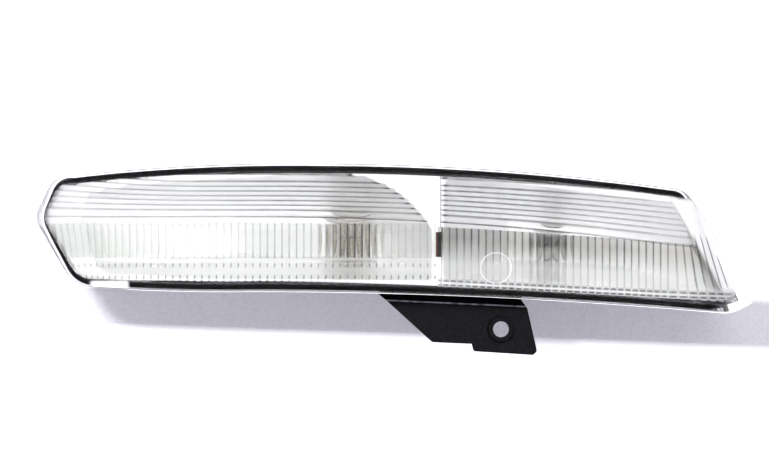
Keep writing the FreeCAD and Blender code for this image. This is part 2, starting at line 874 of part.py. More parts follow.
def build_holder_seal(x, z, neck_radius, flange_radius):
    """Rubber ring between the collar and the holder's flange."""
    inner = neck_radius + holder_neck_gap
    outer = min(inner + collar_wall, flange_radius) - holder_neck_gap
    crown = (outer + inner) / 2
    return turned(x, z, [
        (inner, collar_y),
        (outer, collar_y),
        (outer, flange_front_y - holder_seal_crown),
        (crown, flange_front_y),
        (inner, flange_front_y - holder_seal_crown),
    ])


def blade_bar(x, z, y_from, y_to, width):
    """One contact blade."""
    half = blade_thickness / 2
    return block(x - half, x + half, y_from, y_to, z - width / 2, z + width / 2)


def build_turn_terminals():
    """Two blades: one ends under the cap's tip, the other runs up beside the cap."""
    floor_y = neck_front_y + turn_bore_depth
    tip_y = max(floor_y, flange_back_y) + holder_web + blade_reach
    tip_x, side_x = blade_xs(turn_lamp_x, turn_blade_spacing)
    tip_blade = blade_bar(tip_x, turn_lamp_z, floor_y - contact_thickness, tip_y, turn_blade_width)
    tongue_half = turn_blade_width / 4
    tongue = block(tip_x, turn_lamp_x + tongue_half, floor_y - contact_thickness, floor_y,
                   turn_lamp_z - tongue_half, turn_lamp_z + tongue_half)
    side_blade = blade_bar(side_x, turn_lamp_z, floor_y - contact_thickness, tip_y, turn_blade_width)
    spring_x = turn_lamp_x + turn_cap_radius
    spring_end = turn_lamp_x + turn_bore_radius
    foot = block(side_x, spring_end - 2 * spring_gap, floor_y - contact_thickness, floor_y,
                 turn_lamp_z - tongue_half, turn_lamp_z + tongue_half)
    spring = block(spring_x + spring_gap, spring_end - 2 * spring_gap, floor_y - spring_length, floor_y,
                   turn_lamp_z - tongue_half, turn_lamp_z + tongue_half)
    return Part.makeCompound([tip_blade.fuse(tongue), side_blade.fuse([foot, spring])])


def build_position_terminals():
    """Two blades that end at the floor of the wedge slot."""
    floor_y = neck_front_y + position_bore_depth
    tip_y = max(floor_y, flange_back_y) + holder_web + blade_reach
    blades = []
    for x in blade_xs(position_lamp_x, position_blade_spacing):
        blades.append(blade_bar(x, position_lamp_z, floor_y - contact_thickness, tip_y,
                                position_blade_width))
    return Part.makeCompound(blades)


def turn_cap_front_y():
    """Front edge of the turn signal bulb's cap."""
    cap_back_y = neck_front_y + turn_bore_depth - contact_thickness - cap_tip_height
    return cap_back_y - turn_cap_length


def build_turn_cap():
    """Bayonet cap: a thin cup with a tip contact and two pins."""
    front_y = turn_cap_front_y()
    end_y = front_y + turn_cap_length
    cup = turned(turn_lamp_x, turn_lamp_z, [
        (turn_cap_radius - turn_cap_wall, front_y),
        (turn_cap_radius, front_y),
        (turn_cap_radius, end_y - cap_edge),
        (turn_cap_radius - cap_edge, end_y),
        (cap_tip_radius, end_y),
        (cap_tip_radius, end_y + cap_tip_height),
        (0, end_y + cap_tip_height),
        (0, end_y - turn_cap_wall),
        (turn_cap_radius - cap_edge - turn_cap_wall / 2, end_y - turn_cap_wall),
        (turn_cap_radius - turn_cap_wall, end_y - cap_edge - turn_cap_wall / 2),
    ])
    pin_y = front_y + bayonet_pin_place
    reach = turn_cap_radius + bayonet_pin_height
    pin_start = Vector(turn_lamp_x - reach, pin_y, turn_lamp_z)
    pins = Part.makeCylinder(bayonet_pin_radius, 2 * reach, pin_start, Vector(1, 0, 0))
    core = rod(turn_lamp_x, turn_lamp_z, front_y - 1.0, end_y, turn_cap_radius - turn_cap_wall / 2)
    return cup.fuse(pins.cut(core))


def build_turn_glass():
    """Glass of the turn signal bulb: round crown, straight sides, narrow neck in the cap."""
    cap_y = turn_cap_front_y()
    tip_y = cap_y - turn_glass_length
    crown_y = tip_y + turn_glass_radius
    neck_end = cap_y + turn_neck_depth
    outer = glass_bulb(tip_y, crown_y, cap_y, turn_glass_radius, turn_glass_neck_radius)
    inner = glass_bulb(tip_y + bulb_wall, crown_y, cap_y,
                       turn_glass_radius - bulb_wall, turn_glass_neck_radius - bulb_wall)
    stem_radius = turn_glass_neck_radius - bulb_wall / 2
    stem = turned(turn_lamp_x, turn_lamp_z, [
        (0, cap_y - turn_stem_rise),
        (turn_stem_tip_radius, cap_y - turn_stem_rise),
        (turn_stem_foot_radius, cap_y + turn_stem_depth),
        (stem_radius, cap_y + turn_stem_depth),
        (stem_radius, neck_end),
        (0, neck_end),
    ])
    neck = rod(turn_lamp_x, turn_lamp_z, cap_y, neck_end, turn_glass_neck_radius)
    inner_neck = rod(turn_lamp_x, turn_lamp_z, cap_y - bulb_wall, neck_end + bulb_wall,
                     turn_glass_neck_radius - bulb_wall)
    return outer.fuse(neck).cut(inner).cut(inner_neck).fuse(stem)


def glass_bulb(tip_y, crown_y, neck_y, radius, neck_radius):
    """Solid inside one surface of the bulb glass, turned from an arc and two lines."""
    x = turn_lamp_x
    z = turn_lamp_z
    rise = crown_y - tip_y
    tip = Vector(x, tip_y, z)
    side = Vector(x + radius, crown_y, z)
    arc_middle = Vector(x + radius * sine(45), crown_y - rise * cosine(45), z)
    middle_x = x + (radius + neck_radius) / 2 + bulb_wall
    middle = Vector(middle_x, neck_y - turn_shoulder_length / 2, z)
    shoulder = Vector(x + radius, neck_y - turn_shoulder_length, z)
    neck = Vector(x + neck_radius, neck_y, z)
    foot = Vector(x, neck_y, z)
    edges = [
        Part.Arc(tip, arc_middle, side).toShape(),
        Part.makeLine(side, shoulder),
        Part.Arc(shoulder, middle, neck).toShape(),
        Part.makeLine(neck, foot),
        Part.makeLine(foot, tip),
    ]
    face = Part.Face(Part.Wire(edges))
    return face.revolve(Vector(x, 0, z), Vector(0, 1, 0), 360)


def filament(x, z, foot_y, top_y, spread):
    """Two support wires from the stem and a coil of fine turns drawn as one thin rod."""
    pieces = []
    for side in (-1, 1):
        foot = Vector(x + side * wire_foot_spread, foot_y, z)
        top = Vector(x + side * spread, top_y, z)
        direction = top - foot
        pieces.append(Part.makeCylinder(wire_radius, direction.Length, foot, direction))
    start = Vector(x - spread, top_y, z)
    pieces.append(Part.makeCylinder(coil_radius, 2 * spread, start, Vector(1, 0, 0)))
    return pieces[0].fuse(pieces[1:])


def build_turn_filament():
    """Filament of the turn signal bulb, on the stem."""
    foot_y = turn_cap_front_y() - turn_stem_rise - wire_foot_gap
    return filament(turn_lamp_x, turn_lamp_z, foot_y, foot_y - turn_filament_rise, turn_filament_half)


def position_glass_base_y():
    """Back end of the wedge of the position bulb."""
    return neck_front_y + position_bore_depth - contact_thickness


def build_position_glass():
    """Capless bulb: round-ended tube and flat wedge in one piece of glass."""
    x = position_lamp_x
    z = position_lamp_z
    width, height, length = position_wedge
    base_y = position_glass_base_y()
    wedge_y = base_y - length
    tip_y = wedge_y - position_glass_length
    crown_y = tip_y + position_glass_radius
    outer = rod(x, z, crown_y, wedge_y, position_glass_radius)
    outer = outer.fuse(Part.makeSphere(position_glass_radius, Vector(x, crown_y, z)))
    inner_radius = position_glass_radius - bulb_wall
    inner = rod(x, z, crown_y, wedge_y - position_press_depth, inner_radius)
    inner = inner.fuse(Part.makeSphere(inner_radius, Vector(x, crown_y, z)))
    wedge = block(x - width / 2, x + width / 2, wedge_y - 1.0, base_y, z - height / 2, z + height / 2)
    return outer.cut(inner).fuse(wedge.cut(inner))


def build_position_filament():
    """Filament of the position bulb."""
    wedge_y = position_glass_base_y() - position_wedge[2]
    foot_y = wedge_y - position_press_depth - wire_foot_gap
    return filament(position_lamp_x, position_lamp_z, foot_y, foot_y - position_filament_rise,
                    position_filament_half)


def build_bracket():
    """Bent steel bracket: dished tab in front, slanting web and a leg under the housing."""
    front = -dish_depth
    run = (bracket_leg_z - bracket_bend_z) / math.tan(math.radians(bracket_bend_turn))
    slack = bracket_thickness * math.tan(math.radians(bracket_bend_turn / 2))
    back = front + bracket_thickness
    points = [
        (front, bracket_tab_foot_z),
        (front, bracket_bend_z),
        (front + run, bracket_leg_z),
        (bracket_leg_end_y, bracket_leg_z),
        (bracket_leg_end_y, bracket_leg_z - bracket_thickness),
        (front + run + slack, bracket_leg_z - bracket_thickness),
        (back, bracket_bend_z - slack),
        (back, bracket_tab_foot_z),
    ]
    left = min(x for x, z in bracket_outline) - bracket_side_margin
    right = max(x for x, z in bracket_outline) + bracket_side_margin
    corners = [Vector(left, y, z) for y, z in points]
    plate = Part.Face(Part.makePolygon(corners + corners[:1])).extrude(Vector(right - left, 0, 0))
    outside = bracket_bend_radius
    inside = bracket_bend_radius - bracket_thickness
    plate = fillet_bend(plate, points[1], outside)
    plate = fillet_bend(plate, points[5], outside)
    plate = fillet_bend(plate, points[2], inside)
    plate = fillet_bend(plate, points[6], inside)
    plate = bracket_frame(plate)
    trim = front_wire(bracket_outline[0], [(None, end) for end in bracket_outline[1:]]
                      + [(None, bracket_outline[0])])
    trim = trim.makeOffset2D(-bracket_corner_radius).makeOffset2D(bracket_corner_radius)
    trim_face = Part.Face(trim)
    trim_face.translate(Vector(0, far_front, 0))
    plate = plate.common(trim_face.extrude(Vector(0, far_back - far_front, 0)))
    dish_back = bracket_thickness
    boss = turned(0, 0, [
        (0, 0),
        (dish_radius + dish_boss_wall, 0),
        (dish_radius + dish_boss_wall, back),
        (dish_radius, dish_back),
        (0, dish_back),
    ])
    recess = turned(0, 0, [
        (0, front - 1.0),
        (dish_radius, front - 1.0),
        (dish_radius, front),
        (dish_radius - dish_depth, 0),
        (0, 0),
    ])
    holes = [recess, rod(0, 0, far_front, far_back, fixing_hole_radius)]
    for x in bracket_screw_xs:
        start = Vector(x, bracket_screw_y, bracket_leg_z - 2 * bracket_thickness)
        clearance = Part.makeCylinder(screw_clearance_radius, 3 * bracket_thickness, start)
        holes.append(bracket_frame(clearance))
    return plate.fuse(boss).cut(Part.makeCompound(holes))


def fillet_bend(plate, corner, radius):
    """Round one bend edge of the bracket plate."""
    edges = []
    for edge in plate.Edges:
        middle = edge.CenterOfMass
        if edge.Length > 50 and abs(middle.y - corner[0]) < 0.01 and abs(middle.z - corner[1]) < 0.01:
            edges.append(edge)
    return plate.makeFillet(radius, edges)


def screw(grip):
    """Pan-head screw along +Y with its head's seat at the origin."""
    head = [
        (0, -screw_head_height),
        (screw_head_radius * 0.55, -screw_head_height),
        (screw_head_radius * 0.9, -screw_head_height * 0.65),
        (screw_head_radius, -screw_head_height * 0.2),
        (screw_head_radius, 0),
    ]
    shank = [
        (screw_radius, 0),
        (screw_radius, grip - screw_point),
        (screw_radius * 0.4, grip),
        (0, grip),
    ]
    return turned(0, 0, head + shank)


def build_reflector_screws():
    """Four screws driven from behind through the back wall into the reflectors' bosses."""
    screws = []
    length = back_wall + screw_boss_gap + screw_grip - screw_end_gap
    for spots in reflector_screw_spots.values():
        for x, z in spots:
            piece = screw(length)
            piece.rotate(Vector(0, 0, 0), Vector(0, 0, 1), 180)
            piece.translate(Vector(x, back_y, z))
            screws.append(piece)
    return Part.makeCompound(screws)


def build_bracket_screws():
    """Two screws up through the bracket's leg into the housing's pads."""
    screws = []
    for x in bracket_screw_xs:
        piece = screw(bracket_thickness + bracket_screw_grip - screw_end_gap)
        piece.rotate(Vector(0, 0, 0), Vector(1, 0, 0), 90)
        piece.translate(Vector(x, bracket_screw_y, bracket_leg_z - bracket_thickness))
        screws.append(bracket_frame(piece))
    return Part.makeCompound(screws)


def build_stud():
    """Steel stud with a thick root that is pressed into its boss."""
    root_end = back_y + stud_boss_height
    root_front = root_end - stud_root_length
    tip_y = root_end + stud_length
    return turned(stud_x, stud_z, [
        (0, root_front),
        (stud_root_radius, root_front),
        (stud_root_radius, root_end),
        (stud_radius, root_end),
        (stud_radius, tip_y - stud_chamfer),
        (stud_radius - stud_chamfer, tip_y),
        (0, tip_y),
    ])


def build_vent_caps():
    """Rubber caps over the vent pipes."""
    inner = vent_pipe_radius + vent_cap_gap
    outer = inner + vent_cap_wall
    pipe_end = back_y + vent_pipe_length
    roof = pipe_end + vent_cap_space
    caps = []
    for x, z in vent_spots:
        caps.append(turned(x, z, [
            (inner, back_y + vent_cap_foot),
            (outer, back_y + vent_cap_foot),
            (outer, roof + vent_cap_wall - vent_cap_edge),
            (outer - vent_cap_edge, roof + vent_cap_wall),
            (0, roof + vent_cap_wall),
            (0, roof),
            (inner, roof),
        ]))
    return Part.makeCompound(caps)


def build_parts():
    """Every node by its name."""
    turn_seal = build_holder_seal(turn_lamp_x, turn_lamp_z, turn_neck_radius, turn_flange_radius)
    position_seal = build_holder_seal(position_lamp_x, position_lamp_z, position_neck_radius,
                                      position_flange_radius)
    turn_reflector = build_reflector(turn_side(), turn_lamp_x, turn_lamp_z, turn_bowl_depth,
                                     turn_neck_radius + lamp_hole_gap,
                                     reflector_screw_spots["turn"])
    position_reflector = build_reflector(position_side(), position_lamp_x, position_lamp_z,
                                         position_bowl_depth,
                                         position_neck_radius + lamp_hole_gap,
                                         reflector_screw_spots["position"])
    return {
        "lens": build_lens(),
        "lens_seal": build_seal(),
        "housing": build_housing(),
        "reflector_turn": turn_reflector,
        "reflector_position": position_reflector,
        "mounting_bracket": build_bracket(),
        "turn_holder": build_turn_holder(),
        "turn_holder_seal": turn_seal,
        "turn_terminals": build_turn_terminals(),
        "turn_bulb_cap": build_turn_cap(),
        "turn_bulb_glass": build_turn_glass(),
        "turn_bulb_filament": build_turn_filament(),
        "position_holder": build_position_holder(),
        "position_holder_seal": position_seal,
        "position_terminals": build_position_terminals(),
        "position_bulb_glass": build_position_glass(),
        "position_bulb_filament": build_position_filament(),
        "reflector_screws": build_reflector_screws(),
        "bracket_screws": build_bracket_screws(),
        "fixing_stud": build_stud(),
        "vent_caps": build_vent_caps(),
    }


os.makedirs("parts", exist_ok=True)
for name, shape in build_parts().items():
    shape.exportStep(os.path.join("parts", name + ".step"))
    print(name, "solids", len(shape.Solids), "valid", shape.isValid(), "volume", round(shape.Volume))
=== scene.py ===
"""Looks of a front bumper turn signal and position lamp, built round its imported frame."""

import json
import logging
import math
from dataclasses import dataclass, field
from enum import Enum
from typing import Sequence

import bpy
import numpy as np
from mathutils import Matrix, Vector


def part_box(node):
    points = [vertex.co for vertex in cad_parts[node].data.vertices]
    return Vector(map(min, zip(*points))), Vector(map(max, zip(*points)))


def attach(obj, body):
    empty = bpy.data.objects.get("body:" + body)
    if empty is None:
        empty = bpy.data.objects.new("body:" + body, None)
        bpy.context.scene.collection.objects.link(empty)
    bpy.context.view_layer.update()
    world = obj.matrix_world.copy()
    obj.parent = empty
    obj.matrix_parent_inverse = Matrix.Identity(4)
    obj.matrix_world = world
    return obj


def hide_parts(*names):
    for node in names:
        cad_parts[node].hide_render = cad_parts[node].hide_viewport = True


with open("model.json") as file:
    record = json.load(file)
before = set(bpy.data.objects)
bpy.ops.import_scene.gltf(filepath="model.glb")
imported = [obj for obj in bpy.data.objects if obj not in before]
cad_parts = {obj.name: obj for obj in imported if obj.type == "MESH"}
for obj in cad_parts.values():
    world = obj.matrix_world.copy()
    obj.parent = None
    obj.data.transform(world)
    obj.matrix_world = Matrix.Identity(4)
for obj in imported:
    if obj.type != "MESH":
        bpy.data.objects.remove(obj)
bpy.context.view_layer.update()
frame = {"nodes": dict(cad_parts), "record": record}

log = logging.getLogger("bumper_lamp")

MM = 0.001
ROOT = "root"
LENS = "lens"

Array = np.ndarray
Colour = tuple[float, float, float]
Point = tuple[float, float]
Number = Array | float
Row = tuple[Array, ...]
Sheet = tuple[Array, Array, Array, Array]
Socket = bpy.types.NodeSocket
Value = Socket | Colour | float
Feeds = dict[str | int, Value]

# The photo's width, the pixels at its middle and at the frame's origin, and metres in a pixel
PHOTO_WIDTH = 769
PHOTO_MIDDLE = (384.5, 226.5)
ORIGIN_PIXEL = (501.2, 329.5)
PIXEL = 0.5 * MM

# Range that nearly all of a noise node's values lie in
NOISE_RANGE = (0.3, 0.7)


class Shader(Enum):
    """Kinds of surface that a finish can be built on."""

    PLASTIC = "plastic"
    METAL = "metal"


class NodeBoard:
    """Short typed calls for building one node tree."""

    def __init__(self, tree: bpy.types.NodeTree, output: str) -> None:
        """Empty the tree and add its output.

        Args:
            tree: a material's tree or the world's.
            output: type name of the output node.
        """
        self.tree = tree
        tree.nodes.clear()
        self.output = tree.nodes.new(output)

    def feed(self, target: Socket, value: Value) -> None:
        """Join a socket to an input, or set the input's own value.

        Args:
            target: the input.
            value: a socket, a number, a vector, or a colour without its alpha.
        """
        if isinstance(value, bpy.types.NodeSocket):
            self.tree.links.new(value, target)
        elif isinstance(value, tuple) and len(target.default_value) > len(value):
            target.default_value = (*value, 1.0)
        else:
            target.default_value = value

    def add(self, kind: str, inputs: Feeds | None = None, **settings: object) -> bpy.types.Node:
        """Add a node, set its properties and feed its inputs.

        Args:
            kind: the node's type name.
            inputs: values for its inputs, by name or number.
            **settings: properties of the node.

        Returns:
            The new node.
        """
        node = self.tree.nodes.new(kind)
        for key, value in settings.items():
            setattr(node, key, value)
        for key, value in (inputs or {}).items():
            self.feed(node.inputs[key], value)
        return node

    def place(self, scale: float) -> Socket:
        """Object coordinates times a scale in cells per metre."""
        where = self.add("ShaderNodeTexCoord").outputs["Object"]
        feeds = {"Vector": where, "Scale": (scale, scale, scale)}
        return self.add("ShaderNodeMapping", feeds).outputs["Vector"]

    def axes(self, vector: Socket) -> tuple[Socket, Socket, Socket]:
        """X, Y and Z of a vector as three sockets."""
        return tuple(self.add("ShaderNodeSeparateXYZ", {0: vector}).outputs)

    def noise(self, scale: float, detail: float = 3.0, roughness: float = 0.5) -> Socket:
        """Noise value at a scale in cells per metre."""
        feeds = {"Vector": self.place(scale), "Scale": 1.0, "Detail": detail, "Roughness": roughness}
        return self.add("ShaderNodeTexNoise", feeds).outputs["Fac"]

    def math(self, operation: str, first: Value, second: Value = 0.0) -> Socket:
        """Result of a math node on sockets or numbers."""
        return self.add("ShaderNodeMath", {0: first, 1: second}, operation=operation).outputs[0]

    def spread(self, value: Socket, low: float, high: float, to_low: float, to_high: float) -> Socket:
        """Value mapped from low and high to two other numbers, held at its ends."""
        ends = {"From Min": low, "From Max": high, "To Min": to_low, "To Max": to_high}
        return self.add("ShaderNodeMapRange", {"Value": value, **ends}).outputs["Result"]

    def grade(self, noise: Socket, low: float, high: float) -> Socket:
        """Noise value stretched from its usual range over low to high."""
        return self.spread(noise, *NOISE_RANGE, low, high)

    def mix(self, share: Socket, first: Socket | Colour, second: Socket | Colour) -> Socket:
        """Colour between two colours, the first at a share of 0 and the second at 1."""
        return self.add("ShaderNodeMix", {0: share, 6: first, 7: second}, data_type="RGBA").outputs[2]

    def value_of(self, attribute: str) -> Socket:
        """Value of one of the piece's own point attributes."""
        return self.add("ShaderNodeAttribute", attribute_name=attribute).outputs["Fac"]

    def bump(self, height: Socket, distance: float) -> Socket:
        """Normal bumped by a height, where a height of 1 is that distance in metres."""
        feeds = {"Strength": 1.0, "Distance": distance, "Height": height}
        return self.add("ShaderNodeBump", feeds).outputs["Normal"]

    def show(self, shader: bpy.types.Node) -> None:
        """Join a shader to the output."""
        self.feed(self.output.inputs["Surface"], shader.outputs[0])


class MaterialBoard(NodeBoard):
    """Node board of a new material."""

    def __init__(self, name: str) -> None:
        """Make an empty material of that name."""
        self.material = bpy.data.materials.new(name)
        self.material.use_nodes = True
        super().__init__(self.material.node_tree, "ShaderNodeOutputMaterial")

    def surface(self, inputs: Feeds) -> bpy.types.Material:
        """Finish the material with a principled surface that has these inputs."""
        self.show(self.add("ShaderNodeBsdfPrincipled", inputs))
        return self.material


@dataclass(frozen=True)
class Finish:
    """An opaque finish: two tones, grain and a range of roughness.

    Attributes:
        name: the material's name.
        kind: plastic or metal.
        tone: main colour.
        second_tone: colour that it drifts to in patches.
        patch_scale: patches per metre.
        roughness: lowest and highest roughness.
        grain_scale: grain cells per metre.
        grain_height: height of the grain in metres.
        grain_detail: octaves of the grain.
        grain_roughness: weight of the grain's finer octaves.
        specular: specular level of the surface.
        metallic: share of metal, for the metal kind.
    """

    name: str
    kind: Shader
    tone: Colour
    second_tone: Colour
    patch_scale: float = 60.0
    roughness: Point = (0.4, 0.5)
    grain_scale: float = 900.0
    grain_height: float = 0.00002
    grain_detail: float = 4.0
    grain_roughness: float = 0.5
    specular: float = 0.5
    metallic: float = 1.0

    def coat(self, board: NodeBoard, grain: Socket) -> Socket:
        """Colour of the finish, which drifts between its two tones."""
        return board.mix(board.noise(self.patch_scale), self.tone, self.second_tone)

    def build(self) -> bpy.types.Material:
        """Build the finish.

        Returns:
            The material.
        """
        board = MaterialBoard(self.name)
        grain = board.noise(self.grain_scale, self.grain_detail, self.grain_roughness)
        return board.surface({
            "Metallic": self.metallic if self.kind is Shader.METAL else 0.0,
            "Specular IOR Level": self.specular,
            "Base Color": self.coat(board, grain),
            "Roughness": board.grade(grain, *self.roughness),
            "Normal": board.bump(grain, self.grain_height),
        })


@dataclass(frozen=True)
class BoxedFinish(Finish):
    """An opaque finish that takes another tone inside one box of the object's own space.

    Attributes:
        low: lowest corner of the box in metres.
        high: highest corner of the box in metres.
        boxed_tone: colour inside the box.
        edge: width over which the tone changes, in metres.
    """

    low: Colour = (0.0, 0.0, 0.0)
    high: Colour = (0.0, 0.0, 0.0)
    boxed_tone: Colour = (0.5, 0.5, 0.5)
    edge: float = 0.0005

    def coat(self, board: NodeBoard, grain: Socket) -> Socket:
        """Colour of the finish, with the other tone inside the box.

        Args:
            board: the material's board.
            grain: the grain's noise.

        Returns:
            The colour.
        """
        inside: Value = 1.0
        for axis, low, high in zip(board.axes(board.place(1.0)), self.low, self.high):
            above = board.spread(axis, low - self.edge, low, 0.0, 1.0)
            below = board.spread(axis, high, high + self.edge, 1.0, 0.0)
            inside = board.math("MULTIPLY", board.math("MULTIPLY", above, below), inside)
        return board.mix(inside, super().coat(board, grain), self.boxed_tone)


@dataclass(frozen=True)
class AcrylicWithPaintedShade:
    """Clear acrylic with painted shade: fine dark lines along its flute edges and rim.

    It reads three point attributes: the first paints shade as fine dark lines along edges, and the
    channel's dark image at the rim; tint paints the shade of the walls behind, from clear over green to
    beige; and the third turns the acrylic milky white as painted glare.

    Attributes:
        name: the material's name.
        clear: tint of the plain acrylic.
        green: painted shade of the wall behind the inboard flutes, a pale green tint.
        beige: painted shade of the wall behind the outboard flutes, a beige tint.
        dark: tone of the painted shade along an edge.
        ior: index of refraction.
        roughness: surface roughness.
        waver_scale: patches per metre in which the painted edge shade varies.
        waver: least and most of that painted shade in those patches.
    """

    name: str = "fluted_acrylic"
    clear: Colour = (0.998, 0.998, 0.998)
    green: Colour = (0.93, 0.955, 0.91)
    beige: Colour = (0.88, 0.85, 0.77)
    dark: Colour = (0.004, 0.0045, 0.006)
    ior: float = 1.49
    roughness: float = 0.008
    waver_scale: float = 160.0
    waver: Point = (0.86, 1.08)

    def build(self) -> bpy.types.Material:
        """Build the finish.

        Light passes the painted edge shade as the root of its colour, so the clear share is squared to
        make up.

        Returns:
            The material.
        """
        board = MaterialBoard(self.name)
        # painted shade of the walls behind the flutes: clear, pale green inboard, beige towards the
        # outboard tops
        tint = board.value_of("tint")
        greenish = board.mix(board.spread(tint, 0.0, 0.5, 0.0, 1.0), self.clear, self.green)
        tone = board.mix(board.spread(tint, 0.5, 1.0, 0.0, 1.0), greenish, self.beige)
        waver = board.grade(board.noise(self.waver_scale), *self.waver)
        # painted shade: dark lines along the flute edges and the rim, varied in patches
        ink = board.math("MULTIPLY", board.value_of("ink"), waver)
        left = board.spread(ink, 0.0, 1.0, 1.0, 0.0)
        return board.surface({
            "IOR": self.ior,
            "Roughness": self.roughness,
            # painted glare: the acrylic turns opaque milky white where that attribute is high
            "Transmission Weight": board.math("SUBTRACT", 1.0, board.value_of("frost")),
            "Base Color": board.mix(board.math("MULTIPLY", left, left), self.dark, tone),
        })


@dataclass(frozen=True)
class ThinGlass:
    """Thin blown glass of a bulb: it lets light straight through and shines at its edges.

    Attributes:
        name: the material's name.
        tint: colour of the glass.
        second_tint: colour that it drifts to in patches.
        cover: least and most of the light that it holds back, face on and edge on.
        roughness: surface roughness.
        patch_scale: patches per metre.
        rim_start: facing value from which the cover rises.
    """

    name: str
    tint: Colour
    second_tint: Colour
    cover: Point = (0.02, 0.2)
    roughness: float = 0.04
    patch_scale: float = 120.0
    rim_start: float = 0.2

    def build(self) -> bpy.types.Material:
        """Build the finish.

        Returns:
            The material.
        """
        board = MaterialBoard(self.name)
        facing = board.add("ShaderNodeLayerWeight").outputs["Facing"]
        return board.surface({
            "Roughness": self.roughness,
            "Base Color": board.mix(board.noise(self.patch_scale), self.tint, self.second_tint),
            "Alpha": board.spread(facing, self.rim_start, 1.0, *self.cover),
        })


@dataclass(frozen=True)
class CoatWithPaintedHighlight(Finish):
    """An opaque finish that its own grain speckles, with a painted highlight along one slanting line
    where it bends.

    Attributes:
        speckle_range: grain values between which the tone turns into the second tone.
        highlight_tone: colour of the painted highlight along the line.
        line_z: height of the line at X = 0, in metres.
        line_fall: fall of the line along X.
        line_width: half width of the line, in metres.
        highlight_patch_scale: patches per metre in which the painted highlight breaks up.
        highlight_patch_range: noise values between which the painted highlight grows.
        highlight_least: least of the painted highlight along the line.
    """

    speckle_range: Point = (0.52, 0.68)
    highlight_tone: Colour = (0.55, 0.57, 0.64)
    line_z: float = 0.01195
    line_fall: float = 0.0454
    line_width: float = 0.0005
    highlight_patch_scale: float = 260.0
    highlight_patch_range: Point = (0.35, 0.6)
    highlight_least: float = 0.25

    def coat(self, board: NodeBoard, grain: Socket) -> Socket:
        """Colour of the finish, with its speckles and the painted highlight along the line.

        Args:
            board: the material's board.
            grain: the grain's noise.

        Returns:
            The colour.
        """
        speckles = board.spread(grain, *self.speckle_range, 0.0, 1.0)
        x, _, z = board.axes(board.place(1.0))
        line = board.math("ADD", z, board.math("MULTIPLY", x, self.line_fall))
        apart = board.math("ABSOLUTE", board.math("SUBTRACT", line, self.line_z))
        # painted highlight along the bracket's bend line
        painted_highlight = board.spread(apart, 0.0, self.line_width, 1.0, 0.0)
        highlight_patches = board.spread(board.noise(self.highlight_patch_scale), *self.highlight_patch_range, self.highlight_least, 1.0)
        plain = board.mix(speckles, self.tone, self.second_tone)
        return board.mix(board.math("MULTIPLY", painted_highlight, highlight_patches), plain, self.highlight_tone)


def build_finishes() -> dict[str, bpy.types.Material]:
    """Build every finish of the lamp once.

    Returns:
        The materials by the record's material slots.
    """
    plastic, metal = Shader.PLASTIC, Shader.METAL
    plans = {
        "lens": AcrylicWithPaintedShade(),
        "amber_glass": ThinGlass("pale_amber_glass", (1.0, 0.93, 0.8), (1.0, 0.9, 0.74)),
        "clear_glass": ThinGlass("clear_bulb_glass", (0.96, 0.97, 0.98), (0.92, 0.94, 0.95)),
        "housing": BoxedFinish(
            "black_moulded_housing", plastic, (0.004, 0.004, 0.005), (0.007, 0.007, 0.008),
            roughness=(0.6, 0.72), grain_scale=1400.0, grain_height=0.000012, specular=0.06,
            low=(-0.036, -0.03, 0.03), high=(-0.027, 0.0335, 0.05), boxed_tone=(0.2, 0.06, 0.04),
        ),
        "bracket": CoatWithPaintedHighlight(
            "textured_powder_coat", plastic, (0.0012, 0.0013, 0.0017), (0.018, 0.0185, 0.023),
            roughness=(0.5, 0.72), grain_scale=2200.0, grain_height=0.00005, grain_detail=2.0,
            grain_roughness=0.6, specular=0.07,
        ),
        "reflector": Finish(
            "bright_metallised_reflector", metal, (0.99, 0.99, 0.99), (0.965, 0.97, 0.975),
            roughness=(0.3, 0.36), grain_scale=300.0, grain_height=0.000001, metallic=0.4,
        ),
        "sealant": Finish(
            "grey_sealant", plastic, (0.003, 0.0032, 0.004), (0.009, 0.0095, 0.012),
            roughness=(0.45, 0.6), grain_scale=500.0, grain_height=0.00004, specular=0.2,
        ),
        "holder": BoxedFinish(
            "moulded_holder", plastic, (0.022, 0.022, 0.024), (0.03, 0.03, 0.033),
            roughness=(0.42, 0.55), grain_scale=1200.0, grain_height=0.00001,
            low=(-0.3, -0.05, -0.1), high=(0.2, 0.033, 0.1), boxed_tone=(0.78, 0.78, 0.77),
        ),
        "holder_seal": Finish(
            "soft_black_rubber", plastic, (0.018, 0.018, 0.018), (0.028, 0.028, 0.027),
            roughness=(0.6, 0.75), grain_scale=1600.0, grain_height=0.00002,
        ),
        "contact": Finish(
            "bright_brass", metal, (0.8, 0.62, 0.3), (0.72, 0.55, 0.27),
            roughness=(0.22, 0.36), grain_scale=900.0, grain_height=0.000005,
        ),
        "bulb_cap": Finish(
            "nickelled_cap", metal, (0.72, 0.68, 0.6), (0.66, 0.63, 0.57),
            roughness=(0.2, 0.34), grain_scale=700.0, grain_height=0.000005,
        ),
        "screw": Finish(
            "zinc_plated_steel", metal, (0.7, 0.7, 0.72), (0.62, 0.63, 0.67),
            roughness=(0.26, 0.42), grain_scale=1000.0, grain_height=0.000008,
        ),
        "tungsten": Finish(
            "tungsten_wire", metal, (0.35, 0.35, 0.37), (0.28, 0.28, 0.3),
            roughness=(0.35, 0.5), grain_scale=2500.0, grain_height=0.000004,
        ),
    }
    built = {slot: plan.build() for slot, plan in plans.items()}
    built["rubber_cap"] = built["holder_seal"]
    return built


